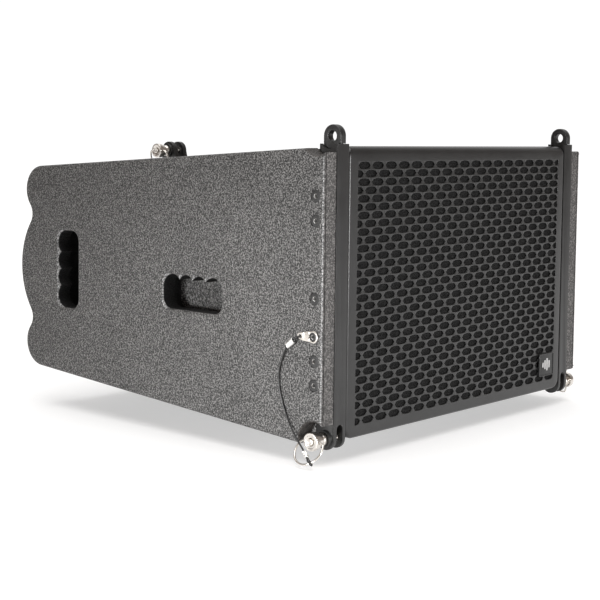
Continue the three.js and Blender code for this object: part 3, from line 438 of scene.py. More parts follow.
def carved(mesh, cutter):
    """The mesh less the cutter, both closed."""
    objects = []
    for data in (mesh, cutter):
        holder = bpy.data.objects.new("carve", data)
        bpy.context.scene.collection.objects.link(holder)
        objects.append(holder)
    modifier = objects[0].modifiers.new("cut", "BOOLEAN")
    modifier.object = objects[1]
    modifier.operation = "DIFFERENCE"
    modifier.solver = "EXACT"
    bpy.context.view_layer.update()
    result = bpy.data.meshes.new_from_object(objects[0].evaluated_get(bpy.context.evaluated_depsgraph_get()))
    for holder in objects:
        bpy.data.objects.remove(holder)
    bpy.data.meshes.remove(cutter)
    return result


def sharp_edges(bm, angle):
    return [e for e in bm.edges if len(e.link_faces) == 2 and e.calc_face_angle(0.0) > math.radians(angle)]


def refined(node, width, segments=2, angle=32.0, worn=None, worn_width=0.0):
    """A CAD node's shape with its sharp edges rounded, as a new mesh in the drawing's millimetres."""
    bm = bmesh.new()
    bm.from_mesh(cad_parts[node].data)
    bm.transform(Matrix.Translation(ORIGIN) @ Matrix.Scale(1000.0, 4))
    bmesh.ops.remove_doubles(bm, verts=bm.verts, dist=0.002)
    bmesh.ops.dissolve_limit(bm, angle_limit=math.radians(1.0), verts=bm.verts, edges=bm.edges)
    if worn is not None:
        chosen = [e for e in sharp_edges(bm, angle) if all(worn(v.co) for v in e.verts)]
        bmesh.ops.bevel(bm, geom=chosen, offset=worn_width, offset_type="OFFSET", segments=4, profile=0.5,
                        affect="EDGES", clamp_overlap=True)
    bmesh.ops.bevel(bm, geom=sharp_edges(bm, angle), offset=width, offset_type="OFFSET", segments=segments, profile=0.5,
                    affect="EDGES", clamp_overlap=True)
    return mesh_of(bm)


def tube_points(points, radius, sides=12, closed=False):
    """Rings round a polyline, with a frame carried along it."""
    path = [Vector(p) for p in points]
    rings = []
    side = None
    for i, here in enumerate(path):
        before, after = path[max(i - 1, 0)], path[min(i + 1, len(path) - 1)]
        direction = (after - before).normalized()
        if side is None:
            side = direction.orthogonal().normalized()
        side = (side - direction * side.dot(direction)).normalized()
        other = direction.cross(side)
        rings.append([here + (side * math.cos(a) + other * math.sin(a)) * radius
                      for a in (2 * math.pi * k / sides for k in range(sides))])
    return rings


def catmull_rom(points, per_span):
    """A centripetal Catmull-Rom curve through the points."""
    pts = [Vector(p) for p in points]
    pts = [pts[0] * 2 - pts[1], *pts, pts[-1] * 2 - pts[-2]]
    result = []
    for p0, p1, p2, p3 in zip(pts, pts[1:], pts[2:], pts[3:]):
        t0 = 0.0
        t1 = t0 + max((p1 - p0).length ** 0.5, 1e-6)
        t2 = t1 + max((p2 - p1).length ** 0.5, 1e-6)
        t3 = t2 + max((p3 - p2).length ** 0.5, 1e-6)
        for i in range(per_span):
            t = t1 + (t2 - t1) * i / per_span
            a1 = p0 * ((t1 - t) / (t1 - t0)) + p1 * ((t - t0) / (t1 - t0))
            a2 = p1 * ((t2 - t) / (t2 - t1)) + p2 * ((t - t1) / (t2 - t1))
            a3 = p2 * ((t3 - t) / (t3 - t2)) + p3 * ((t - t2) / (t3 - t2))
            b1 = a1 * ((t2 - t) / (t2 - t0)) + a2 * ((t - t0) / (t2 - t0))
            b2 = a2 * ((t3 - t) / (t3 - t1)) + a3 * ((t - t1) / (t3 - t1))
            result.append(b1 * ((t2 - t) / (t2 - t1)) + b2 * ((t - t1) / (t2 - t1)))
    result.append(pts[-2])
    return result


# ---- Lanyards -------------------------------------------------------------------------------------
WIRE_R = 0.9
BAIL_R, BAIL_DROP, BAIL_WIRE_R = 16.4, 9.3, 1.1
HEAD_HINGE_X = 242.6
RING_TILT = {"left": math.radians(38.0), "right": math.radians(25.0)}
EYE_ANGLE = {"left": math.radians(125.0), "right": math.radians(45.0)}
RUN = {
    "left": [(-244.9, 46.8, -56.6), (-244.2, 50.3, -63.5), (-244, 54.4, -75.2), (-244, 55.3, -87.1),
             (-244, 53.3, -98.5), (-244.1, 48.2, -113.2), (-244.9, 40.6, -126.8), (-246.9, 31.4, -137.6)],
    "right": [(244.9, 46.8, -56.6), (244.2, 51.6, -63.5), (244, 59.2, -75.2), (244, 63.4, -88.2),
              (244, 62.6, -102), (244.4, 56.8, -114.6), (245.6, 47.2, -121.8)],
}
TAB_SLEEVE_HALF, RING_SLEEVE_HALF, STRAND_END, SLEEVE_SPREAD, EYE_R = 5.5, 4.0, 1.2, 1.35, 3.6
TAB_LOOP = [(244.4, 30.2, -40.9), (243.75, 27, -39.7), (244.75, 24.8, -38.6), (247.3, 24, -37.9),
            (249.85, 24.8, -38.6), (250.9, 26.6, -40.2), (249, 29.4, -42.3)]


def ring_axes(side):
    """A front pin ring's hinge point, hinge axis and hanging direction."""
    tilt = RING_TILT[side]
    if side == "left":
        return Vector((-HEAD_HINGE_X, PIN_Y, PIN_Z)), Vector((0, 1, 0)), Vector((-math.sin(tilt), 0, -math.cos(tilt)))
    return Vector((HEAD_HINGE_X, PIN_Y, PIN_Z)), Vector((0, 0, 1)), Vector((math.sin(tilt), math.cos(tilt), 0))


def tab_sleeve(side):
    hand = -1 if side == "left" else 1
    return {"centre": Vector((hand * 245.8, 38.6, -47.0)), "axis": Vector((0, 0.8, -0.6)),
            "side": Vector((0, 0.6, 0.8)), "half": TAB_SLEEVE_HALF}


def ring_sleeve(side):
    hinge, along, hang = ring_axes(side)
    angle = EYE_ANGLE[side]
    place = hinge + hang * BAIL_DROP + along * BAIL_R * math.cos(angle) + hang * BAIL_R * math.sin(angle)
    tangent = along * -math.sin(angle) + hang * math.cos(angle)
    axis = (place - Vector(RUN[side][-1])).normalized()
    wide = tangent.cross(axis).normalized()
    eye = place + axis * (WIRE_R + BAIL_WIRE_R + 0.35 - EYE_R)
    return {"centre": eye - axis * (RING_SLEEVE_HALF + 5.6), "axis": axis, "side": wide, "eye": eye,
            "half": RING_SLEEVE_HALF}


def beside(sleeve, along, across):
    return sleeve["centre"] + sleeve["axis"] * along + sleeve["side"] * across


def strand(sleeve, start, end, across):
    """Places along one of the two strands in a sleeve, kept straight inside the bore."""
    return [beside(sleeve, along, across) for along in (start, start * 0.6, end * 0.6, end)]


def lanyard_route(side):
    hand = -1 if side == "left" else 1
    upper, lower = tab_sleeve(side), ring_sleeve(side)
    upper_end, lower_end = TAB_SLEEVE_HALF + STRAND_END, RING_SLEEVE_HALF + STRAND_END
    points = strand(upper, upper_end, -upper_end, SLEEVE_SPREAD)
    points += [Vector((hand * x, y, z)) for x, y, z in TAB_LOOP]
    points += strand(upper, -upper_end, upper_end, -SLEEVE_SPREAD)
    points += [Vector(p) for p in RUN[side]]
    points += strand(lower, -lower_end, lower_end - 0.4, SLEEVE_SPREAD)
    for degrees in (100, 60, 20, -20, -60, -100):
        angle = math.radians(degrees)
        points.append(lower["eye"] + lower["axis"] * EYE_R * math.cos(angle) + lower["side"] * EYE_R * math.sin(angle))
    points += strand(lower, lower_end - 0.4, -lower_end, -SLEEVE_SPREAD)
    return catmull_rom(points, 6)


def sleeve_mesh(sleeve):
    """A crimp sleeve with two bores and three pressed grooves."""
    half, waist = sleeve["half"], []
    for i in range(25):
        t = -half + 2 * half * i / 24
        squeeze = 0.16 * max(0.0, math.cos((t / half) * 2.5 * math.pi)) if abs(t) < half * 0.8 else 0.0
        edge = max(0.0, abs(t) - (half - 0.4))
        waist.append((t, 2.0 - squeeze - 0.35 * (edge / 0.4) ** 2))
    normal = sleeve["axis"].cross(sleeve["side"])
    rings = []
    for along, radius in waist:
        outline = (arc(SLEEVE_SPREAD, 0, radius, -math.pi / 2, math.pi / 2, 10)
                   + arc(-SLEEVE_SPREAD, 0, radius, math.pi / 2, 1.5 * math.pi, 10))
        rings.append([sleeve["centre"] + sleeve["axis"] * along + sleeve["side"] * u + normal * v
                      for u, v in outline])
    body = loft(rings)
    for across in (-SLEEVE_SPREAD, SLEEVE_SPREAD):
        start = beside(sleeve, -half - 1, across)
        bore = turned([(0, 0), (WIRE_R + GAP, 0), (WIRE_R + GAP, 2 * half + 2), (0, 2 * half + 2)],
                      start, sleeve["axis"], 20)
        body = carved(body, bore)
    return body


def make_lanyard(side):
    body = f"front_pin_{side}"
    upper = finish_piece(f"tab_sleeve_{side}_crimped", sleeve_mesh(tab_sleeve(side)), SLEEVE, "root",
                         [f"tab_sleeve_{side}"])
    lower = finish_piece(f"ring_sleeve_{side}_crimped", sleeve_mesh(ring_sleeve(side)), SLEEVE, body,
                         [f"ring_sleeve_{side}"])
    path = lanyard_route(side)
    mesh = loft(tube_points(path, WIRE_R, 10))
    mesh.transform(Matrix.Scale(0.001, 4) @ Matrix.Translation(-ORIGIN))
    mesh.materials.append(WIRE)
    mesh.shade_smooth()
    wire = bpy.data.objects.new(f"lanyard_wire_{side}_jacketed", mesh)
    bpy.context.scene.collection.objects.link(wire)
    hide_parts(f"lanyard_wire_{side}")
    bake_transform(wire)


for each_side in ("left", "right"):
    make_lanyard(each_side)


# ---- Side panels ----------------------------------------------------------------------------------
HAND_HALF_LENGTH, HAND_HALF_WIDTH, FINGER_PITCH, FINGER_DEPTH, HAND_CORNER_R = 45.5, 19.0, 20.0, 5.5, 12.0
REAR_SLOT = {"y": 397.0, "z": 0.0, "turn": -math.pi / 2, "depth": 62.0}
MIDDLE_SLOT = {"y": 186.0, "z": -10.5, "turn": 0.0, "depth": 37.0}
LOBE_Y, LOBE_Z, CROWN_Y, CROWN_R, WAVE_FILLET_R, NOTCH_R = 448.0, 92.0, 397.9, 88.7, 15.7, 19.0
SCREW_Y = 10.2
SCREW_Z = [101.4, 76.8, -0.4, -38.3, -62.8, -87.1]
TAB_SCREW = 3
EDGE_R, FRONT_OVERCUT, INNER_OVERCUT = 3.3, 1.0, 6.0


def edge_z(y):
    return HALF_H - y * math.tan(TAPER)


def side_outline():
    lobe_r = (edge_z(LOBE_Y) - LOBE_Z) * math.cos(TAPER)
    lobe, crown = Vector((LOBE_Y, LOBE_Z)), Vector((CROWN_Y, 0.0))
    ra, rb, distance = lobe_r + WAVE_FILLET_R, CROWN_R + WAVE_FILLET_R, (crown - lobe).length
    along = (distance ** 2 + ra ** 2 - rb ** 2) / (2 * distance)
    towards = (crown - lobe).normalized()
    aside = Vector((-towards.y, towards.x))
    if aside.x < 0:
        aside.negate()
    fillet = lobe + towards * along + aside * math.sqrt(ra ** 2 - along ** 2)
    to_fillet = math.atan2(fillet.y - lobe.y, fillet.x - lobe.x)
    to_crown = math.atan2(crown.y - fillet.y, crown.x - fillet.x) + 2 * math.pi
    crown_angle = math.atan2(fillet.y - crown.y, fillet.x - crown.x)
    nose = math.pi / 2 - TAPER
    front = math.acos((PIN_Y + FRONT_OVERCUT) / NOTCH_R)
    top = math.asin((LUG_Z - edge_z(PIN_Y + NOTCH_R * 0.86)) / NOTCH_R)
    bottom = math.asin((edge_z(PIN_Y + NOTCH_R * 0.95) + PIN_Z) / NOTCH_R)
    upper = arc(lobe.x, lobe.y, lobe_r, nose, to_fillet)
    upper += arc(fillet.x, fillet.y, WAVE_FILLET_R, to_fillet + math.pi, to_crown)
    upper += arc(crown.x, 0, CROWN_R, crown_angle, 0)
    lower = [(y, -z) for y, z in reversed(upper)]
    return (arc(PIN_Y, LUG_Z, NOTCH_R, math.pi + front, 2 * math.pi - top, 14) + upper + lower[1:]
            + arc(PIN_Y, PIN_Z, NOTCH_R, -bottom, math.pi - front, 18))


def hand_slot(slot):
    """The outline of a hand slot, with finger scallops along one long side."""
    end_span = HAND_HALF_LENGTH - FINGER_PITCH
    end_r = end_span + FINGER_DEPTH - math.sqrt(2 * end_span * FINGER_DEPTH)
    finger_r = ((FINGER_PITCH / 2) ** 2 + FINGER_DEPTH ** 2) / (2 * FINGER_DEPTH)
    end_u, end_v = HAND_HALF_LENGTH - end_r, HAND_HALF_WIDTH - end_r
    cusp = HAND_HALF_WIDTH - FINGER_DEPTH
    end_angle = math.atan2(cusp - end_v, FINGER_PITCH - end_u)
    finger_v = HAND_HALF_WIDTH - finger_r
    finger_angle = math.atan2(cusp - finger_v, FINGER_PITCH / 2)
    corner_u, corner_v = HAND_HALF_LENGTH - HAND_CORNER_R, HAND_CORNER_R - HAND_HALF_WIDTH
    q = math.pi / 2
    points = arc(-corner_u, corner_v, HAND_CORNER_R, -2 * q, -q) + arc(corner_u, corner_v, HAND_CORNER_R, -q, 0)
    points += arc(end_u, end_v, end_r, 0, end_angle, 14)
    points += arc(FINGER_PITCH / 2, finger_v, finger_r, finger_angle, math.pi - finger_angle, 12)
    points += arc(-FINGER_PITCH / 2, finger_v, finger_r, finger_angle, math.pi - finger_angle, 12)
    points += arc(-end_u, end_v, end_r, math.pi - end_angle, math.pi, 14)
    c, s = math.cos(slot["turn"]), math.sin(slot["turn"])
    return [(slot["y"] + u * c - v * s, slot["z"] + u * s + v * c) for u, v in points]


def screw_seats():
    seats = []
    for i, z in enumerate(SCREW_Z):
        head = [(3.2, -1)] if i == TAB_SCREW else [(6.6, -1), (6.3, 0.7), (3.2, 3.55)]
        seats.append(turned([(0, -1), *head, (3.2, 21), (0, 21)], (-HALF_W, SCREW_Y, z), (1, 0, 0), 32))
    return combined(seats)


# The shallow seam beside the front corner; its walls get painted shade and the corner a painted highlight.
SEAM_X, SEAM_W, SEAM_DEPTH = 3.2 - HALF_W, 0.9, 0.7


def box_mesh(x0, x1, y0, y1, z0, z1):
    return loft([[(x, y0, z0), (x, y1, z0), (x, y1, z1), (x, y0, z1)] for x in (x0, x1)])


def in_slot(place, slot):
    half_y, half_z = HAND_HALF_LENGTH + 1, HAND_HALF_WIDTH + 1
    if slot["turn"]:
        half_y, half_z = half_z, half_y
    return abs(place.y - slot["y"]) < half_y and abs(place.z - slot["z"]) < half_z


def paint_side_light_and_shade(mesh):
    """Paints shade on notch, slot and seam walls, and light and highlights on front faces, corners and slot lips."""
    for face in mesh.polygons:
        place = face.center * 1000.0 + ORIGIN
        reach = min(math.dist(place.yz, (PIN_Y, LUG_Z)), math.dist(place.yz, (PIN_Y, PIN_Z)))
        # Notch walls and their rounding: painted shade.
        if reach < NOTCH_R + 2.0 and abs(face.normal.x) < 0.85 and place.y > 0.05:
            face.material_index = 1
        elif in_slot(place, MIDDLE_SLOT) or in_slot(place, REAR_SLOT):
            # Slot walls: painted shade.
            if abs(face.normal.x) < 0.3:
                face.material_index = 2
            # Slot lips facing forward: painted highlight.
            elif abs(face.normal.x) < 0.97 and face.normal.y < -0.2:
                face.material_index = 4
        # Forward-facing front faces: painted light.
        elif abs(face.normal.x) < 0.5 and face.normal.y < -0.5 and place.y < 0.3:
            face.material_index = 3
        # Rounded outer front corner: painted highlight.
        elif place.y < EDGE_R and abs(place.x) > HALF_W - EDGE_R and face.normal.y < -0.35 < 0.35 < abs(face.normal.x):
            face.material_index = 4
        # Seam walls: painted shade.
        elif 0.01 < place.y < SEAM_DEPTH + 0.1 and abs(place.x) < HALF_W - 1.0:
            face.material_index = 2


def make_side_panels():
    loops = [side_outline(), hand_slot(REAR_SLOT), hand_slot(MIDDLE_SLOT)]
    mesh = plate_mesh(loops, -HALF_W, -INNER_X + INNER_OVERCUT, EDGE_R, resolution=4)
    mesh = carved(mesh, box_mesh(-INNER_X, -INNER_X + 20, -20, 520, -200, 200))
    mesh = carved(mesh, box_mesh(-HALF_W - 20, -INNER_X + 20, -20, 0, -200, 200))
    mesh = carved(mesh, screw_seats())
    mesh = carved(mesh, box_mesh(SEAM_X, SEAM_X + SEAM_W, -5, SEAM_DEPTH, -200, 200))
    right = mirrored(mesh)
    for side, each in (("left", mesh), ("right", right)):
        finish_piece(f"side_panel_{side}_rounded", each, [PAINT, PAINT_NOTCH_SHADE, SHADOW_COAT, PAINT_FRONT_LIGHT, PAINT_HIGHLIGHT],
                     "root", [f"side_panel_{side}"])
        paint_side_light_and_shade(each)


def hand_box(slot):
    """A tray with rounded inner corners behind a hand slot."""
    upright = slot["turn"] != 0
    half_long, half_short = HAND_HALF_LENGTH + 6.0, HAND_HALF_WIDTH + 6.0
    half_y, half_z = (half_short, half_long) if upright else (half_long, half_short)
    mouth, floor = -INNER_X + GAP, -HALF_W + slot["depth"]

    def ring(x, margin, radius):
        points = rounded_rectangle(slot["y"] - half_y - margin, slot["y"] + half_y + margin,
                                   slot["z"] - half_z - margin, slot["z"] + half_z + margin, radius)
        return [(x, y, z) for y, z in points]

    fillet = 8.0
    rings = []
    for i in range(7):
        angle = math.pi / 2 * i / 6
        rings.append(ring(floor - fillet + fillet * math.cos(angle), -fillet + fillet * math.sin(angle),
                          max(14.0 - fillet + fillet * math.sin(angle), 1.0)))
    rings += [ring(mouth, 0.0, 14.0), ring(mouth, 6.0, 20.0), ring(floor, 6.0, 20.0), ring(floor + 6.0, 2.0, 16.0)]
    return loft(rings)


def make_hand_boxes():
    for label, slot in (("middle", MIDDLE_SLOT), ("rear", REAR_SLOT)):
        mesh = hand_box(slot)
        for side, each in (("left", mesh), ("right", mirrored(mesh))):
            # Tray walls, and the rear tray's floor, are painted shade; the middle tray's floor keeps the plain paint.
            floor_coat = PAINT if label == "middle" else SHADOW_COAT
            finish_piece(f"hand_box_{label}_{side}_rounded", each, [SHADOW_COAT, floor_coat], "root",
                         [f"hand_box_{label}_{side}"])
            for face in each.polygons:
                face.material_index = 1 if abs(face.normal.x) > 0.5 else 0


make_side_panels()
make_hand_boxes()


# ---- Screws ---------------------------------------------------------------------------------------
def screw_mesh(head, socket):
    """A countersunk socket screw at the origin, pointing along +X."""
    cone = 2.4 * (head - 2.9) / 3.1
    segments = 36
    turns = [2 * math.pi * i / segments for i in range(segments)]

    def circle(radius, x):
        return [(x, radius * math.cos(a), radius * math.sin(a)) for a in turns]

    def hexagon(radius, x):
        apothem = radius * math.cos(math.pi / 6)
        ring = []
        for a in turns:
            local = (a + math.pi / 6) % (math.pi / 3) - math.pi / 6
            r = apothem / math.cos(local)
            ring.append((x, r * math.cos(a), r * math.sin(a)))
        return ring

    rings = [hexagon(socket - 0.1, 2.6), hexagon(socket, 0.75), hexagon(socket + 0.3, 0.45),
             circle(head - 0.6, 0.4), circle(head - 0.2, 0.5), circle(head, 0.75), circle(2.9, 0.7 + cone),
             circle(2.9, 21.3), circle(2.4, 21.9)]
    return loft(rings)


def make_screws():
    plain, small = screw_mesh(6.0, 2.3), screw_mesh(4.3, 1.9)
    for side, hand in (("left", -1), ("right", 1)):
        for i, z in enumerate(SCREW_Z):
            out = 2.3 if i == TAB_SCREW else 0.0
            mesh = (small if i == TAB_SCREW else plain).copy()
            mesh.transform(Matrix.Rotation(0.4 + 1.9 * i + hand, 4, "X"))
            mesh.transform(Matrix.Translation((-HALF_W - out, SCREW_Y, z)))
            if hand > 0:
                mesh = mirrored(mesh)
            finish_piece(f"side_screw_{side}_{i + 1}_socket", mesh, [SCREW, SCREW_SOCKET_GLINT], "root",
                         [f"side_screw_{side}_{i + 1}"])
            # The socket walls get the painted glint.
            for face in mesh.polygons:
                place = face.center * 1000.0 + ORIGIN
                across = math.dist(place.yz, (SCREW_Y, z))
                face.material_index = 1 if across < 2.6 and abs(face.normal.x) < 0.9 else 0


make_screws()


# ---- Panels between the sides ---------------------------------------------------------------------
def make_panels():
    front, rear = 23.0, 452.0
    outer = [(front, edge_z(front) - 1), (rear, edge_z(rear) - 1)]
    inner = [(rear, edge_z(rear) - 1 - PANEL_T), (front, edge_z(front) - 1 - PANEL_T)]
    top = outer + inner
    half = INNER_X - GAP
    for name, loop in (("top_panel", top), ("bottom_panel", [(y, -z) for y, z in top])):
        mesh = plate_mesh([loop], -half, half, 1.2)
        finish_piece(name + "_rounded", mesh, PAINT, "root", [name])
    finish_piece("back_panel_rounded", refined("back_panel", 0.8), PAINT, "root", ["back_panel"])
    finish_piece("front_baffle_stained", refined("front_baffle", 0.6), PLY, "root", ["front_baffle"])


make_panels()


# ---- Grille ---------------------------------------------------------------------------------------
HOLE_PITCH, ROW_PITCH, ROWS = 21.95, 8.42, 32
HOLE_HALF_W, HOLE_HALF_H = 9.7, 3.75
FIRST_ROW_Z = 131.2
PATTERN_LEFT = -191.775
GRILLE_HALF_X, GRILLE_TOP, GRILLE_BOTTOM, GRILLE_FRONT, GRILLE_T = 205.1, 150.4, -146.4, -1.3, 1.5
GRILLE_BACK, GRILLE_FOLD_BACK, TOP_CORNER_R, BOTTOM_CORNER_R = 17.5, 22.5, 3.0, 9.0
SIDE_ROLL_R, TOP_ROLL_R, HOLE_EDGE = 3.0, 8.0, 0.3


def hole_point(angle):
    """A point on the rounded hexagonal hole, at an angle from its centre."""
    c, s = math.cos(angle), math.sin(angle)
    power = 2.3
    r = (abs(c / HOLE_HALF_W) ** power + abs(s / HOLE_HALF_H) ** power) ** (-1 / power)
    return r * c, r * s


def grille_mesh():
    bm = bmesh.new()
    made = {}

    def vert(x, z, y=GRILLE_FRONT):
        key = (round(x * 37.3), round(z * 37.3), round(y * 37.3))
        if key not in made:
            made[key] = bm.verts.new((x, y, z))
        return made[key]

    def cell(cx, cz, first, last):
        """One cell of the pattern, from its first to its last quarter (-4 to 4 is the whole cell)."""
        step = HOLE_PITCH / 8
        top = [(cx + k * step, cz + ROW_PITCH / 2) for k in range(last, first - 1, -1)]
        bottom = [(cx + k * step, cz - ROW_PITCH / 2) for k in range(first, last + 1)]
        if (first, last) == (-4, 4):
            rim = top + [(cx - HOLE_PITCH / 2, cz)] + bottom + [(cx + HOLE_PITCH / 2, cz)]
            hole = []
            for x, z in rim:
                angle = math.atan2((z - cz) / HOLE_HALF_H, (x - cx) / HOLE_HALF_W)
                hx, hz = hole_point(math.atan2(math.sin(angle) * HOLE_HALF_H, math.cos(angle) * HOLE_HALF_W))
                hole.append((cx + hx, cz + hz))
        else:
            hand = 1 if last > 0 else -1
            wall = 0.95
            side = [(cx + hand * HOLE_PITCH / 2, cz)]
            flat = [(cx, cz)]
            rim = top + (flat if hand > 0 else side) + bottom + (side if hand > 0 else flat)
            hole = []
            for x, z in rim:
                angle = math.atan2((z - cz) / HOLE_HALF_H, (x - cx) / HOLE_HALF_W)
                hx, hz = hole_point(math.atan2(math.sin(angle) * HOLE_HALF_H, math.cos(angle) * HOLE_HALF_W))
                if (x, z) == (cx, cz):
                    hx, hz = wall * hand, 0.0
                if hand * hx < wall:
                    hx = wall * hand
                    hz = min(max(hz, -HOLE_HALF_H + 0.05), HOLE_HALF_H - 0.05)
                hole.append((cx + hx, cz + hz))
        rim_verts = [vert(*p) for p in rim]
        hole_verts = [vert(*p) for p in hole]
        for i in range(len(rim)):
            quad = [rim_verts[i - 1], rim_verts[i], hole_verts[i], hole_verts[i - 1]]
            unique = list(dict.fromkeys(quad))
            if len(unique) > 2:
                bm.faces.new(unique)

    for row in range(ROWS):
        cz = FIRST_ROW_Z - row * ROW_PITCH
        shifted = row % 2 == 1
        start = PATTERN_LEFT + (HOLE_PITCH if shifted else HOLE_PITCH / 2)
        if shifted:
            cell(PATTERN_LEFT, cz, 0, 4)
        for k in range(17):
            cell(start + k * HOLE_PITCH, cz, -4, 4)
        if not shifted:
            cell(start + 17 * HOLE_PITCH - 0.0, cz, -4, 0)
    right = PATTERN_LEFT + 17.5 * HOLE_PITCH
    upper = FIRST_ROW_Z + ROW_PITCH / 2
    lower = FIRST_ROW_Z - (ROWS - 0.5) * ROW_PITCH
    # The flat border between the pattern and the rolled edge.
    inner_x = GRILLE_HALF_X - SIDE_ROLL_R
    inner_top, inner_bottom = GRILLE_TOP - TOP_ROLL_R, GRILLE_BOTTOM + SIDE_ROLL_R
    corners = [(inner_x, inner_bottom, BOTTOM_CORNER_R, -0.5), (inner_x, inner_top, TOP_CORNER_R, 0.0),
               (-inner_x, inner_top, TOP_CORNER_R, 0.5), (-inner_x, inner_bottom, BOTTOM_CORNER_R, 1.0)]
    outline = []
    for x, z, r, start in corners:
        cx, cz = x - math.copysign(r, x), z - math.copysign(r, z)
        for i in range(9):
            angle = math.pi * (start + i / 16)
            outline.append((cx + r * math.cos(angle), cz + r * math.sin(angle), math.cos(angle), math.sin(angle)))
    border = [vert(x, z) for x, z, _, _ in outline]
    edges = []
    for i, v in enumerate(border):
        edges.append(bm.edges.get((border[i - 1], v)) or bm.edges.new((border[i - 1], v)))
    limits = {"x": (PATTERN_LEFT, right), "z": (lower, upper)}

    def on_limit(v):
        return (min(abs(v.co.x - e) for e in limits["x"]) < 0.02 or min(abs(v.co.z - e) for e in limits["z"]) < 0.02)

    rim_edges = [e for e in bm.edges if len(e.link_faces) == 1 and on_limit(e.verts[0]) and on_limit(e.verts[1])
                 and (abs(e.verts[0].co.x - e.verts[1].co.x) < 0.02 or abs(e.verts[0].co.z - e.verts[1].co.z) < 0.02)]
    bmesh.ops.triangle_fill(bm, use_beauty=True, use_dissolve=False, edges=edges + rim_edges)
    # The rolled edge and the flange behind it.
    rows = [border]
    for step in range(1, 8):
        angle = math.pi / 2 * min(step, 6) / 6
        row = []
        for x, z, nx, nz in outline:
            tall = TOP_ROLL_R if nz > 0 else SIDE_ROLL_R
            radius = SIDE_ROLL_R * nx * nx + tall * nz * nz
            rear = GRILLE_BACK * nx * nx + GRILLE_FOLD_BACK * nz * nz
            y = GRILLE_FRONT + radius * (1 - math.cos(angle)) if step < 7 else rear
            row.append(bm.verts.new((x + nx * SIDE_ROLL_R * math.sin(angle), y, z + nz * tall * math.sin(angle))))
        rows.append(row)
    for low, high in zip(rows, rows[1:]):
        for i in range(len(low)):
            bm.faces.new((low[i - 1], low[i], high[i], high[i - 1]))
    bmesh.ops.recalc_face_normals(bm, faces=bm.faces)
    facing = sum(f.normal.y * f.calc_area() for f in bm.faces)
    if facing > 0:
        bmesh.ops.reverse_faces(bm, faces=bm.faces)
    mesh = bpy.data.meshes.new("grille")
    bm.to_mesh(mesh)
    bm.free()
    holder = bpy.data.objects.new("grille_sheet", mesh)
    bpy.context.scene.collection.objects.link(holder)
    thick = holder.modifiers.new("sheet", "SOLIDIFY")
    thick.thickness = GRILLE_T
    thick.offset = -1.0
    thick.use_even_offset = True
    bpy.context.view_layer.update()
    solid = bpy.data.meshes.new_from_object(holder.evaluated_get(bpy.context.evaluated_depsgraph_get()))
    bpy.data.objects.remove(holder)
    return softened_holes(solid, right, lower, upper)


def softened_holes(mesh, right, lower, upper):
    """The grille with the front edge of each hole rounded."""
    bm = bmesh.new()
    bm.from_mesh(mesh)

    def in_pattern(v):
        return (abs(v.co.y - GRILLE_FRONT) < 0.02 and PATTERN_LEFT - 0.5 < v.co.x < right + 0.5
                and lower - 0.5 < v.co.z < upper + 0.5)

    edges = [e for e in bm.edges if len(e.link_faces) == 2 and all(in_pattern(v) for v in e.verts)
             and e.calc_face_angle(0.0) > 1.0]
    bmesh.ops.bevel(bm, geom=edges, offset=HOLE_EDGE, offset_type="OFFSET", segments=2, profile=0.5,
                    affect="EDGES", clamp_overlap=True)
    print("holes", len(edges), len(bm.faces))
    bm.to_mesh(mesh)
    bm.free()
    return mesh


def foam_mesh():
    """A foam sheet with a slightly uneven skin."""
    bm = bmesh.new()
    x0, x1, z0, z1 = -202.1, 202.1, -143.4, 147.4
    y0, thickness = GRILLE_FRONT + GRILLE_T + GAP, 8.0
    columns, rows = 90, 64
    skins = []
    for back in (False, True):
        grid = []
        for j in range(rows + 1):
            line = []
            for i in range(columns + 1):
                x, z = x0 + (x1 - x0) * i / columns, z0 + (z1 - z0) * j / rows
                edge = min(i, columns - i, j, rows - j)
                soft = 0.9 * max(0.0, 1 - edge / 1.5)
                wave = 0.22 * noise.noise(Vector((x * 0.06, z * 0.06, 3.0 if back else 0.0)))
                y = y0 + thickness - soft + min(wave, 0.0) if back else y0 + soft + max(wave, 0.0)
                line.append(bm.verts.new((x, y, z)))
            grid.append(line)
        skins.append(grid)
    for grid in skins:
        for low, high in zip(grid, grid[1:]):
            for i in range(columns):
                bm.faces.new((low[i], low[i + 1], high[i + 1], high[i]))
    front, back = skins

    def rim(grid):
        return (grid[0][:-1] + [line[-1] for line in grid[:-1]] + grid[-1][:0:-1]
                + [line[0] for line in reversed(grid[1:])])

    a, b = rim(front), rim(back)
    for i in range(len(a)):
        bm.faces.new((a[i - 1], a[i], b[i], b[i - 1]))
    return mesh_of(bm)


def make_badge():
    y1 = GRILLE_FRONT - GAP
    plate = plate_mesh([rounded_rectangle(156.5, 188.5, -127.5, -100.0, 2.0)], y1 - 1.7, y1, 0.4, ACROSS_Y)
    finish_piece("badge_plate", plate, BADGE, "root", ["badge"])
    rim_outer = rounded_rectangle(156.5, 188.5, -127.5, -100.0, 2.0)
    rim_inner = rounded_rectangle(157.7, 187.3, -126.3, -101.2, 1.2)
    rim = plate_mesh([rim_outer, rim_inner], y1 - 2.3, y1 - 1.5, 0.35, ACROSS_Y)
    finish_piece("badge_rim", rim, GRILLE, "root")
    bars = []
    for i, height in enumerate((6.0, 11.0, 15.0, 9.0)):
        x = 163.2 + 4.6 * i
        bars.append(plate_mesh([rounded_rectangle(x, x + 2.9, -113.75 - height / 2, -113.75 + height / 2, 0.8, 3)],
                               y1 - 2.0, y1 - 1.6, 0.12, ACROSS_Y, 1))
    finish_piece("badge_emblem", combined(bars), SILVER, "root")


def make_grille():
    finish_piece("grille_perforated", grille_mesh(), GRILLE, "root", ["grille"], 40.0)
    finish_piece("grille_foam_sheet", foam_mesh(), FOAM, "root", ["grille_foam"], 60.0)
    make_badge()


make_grille()


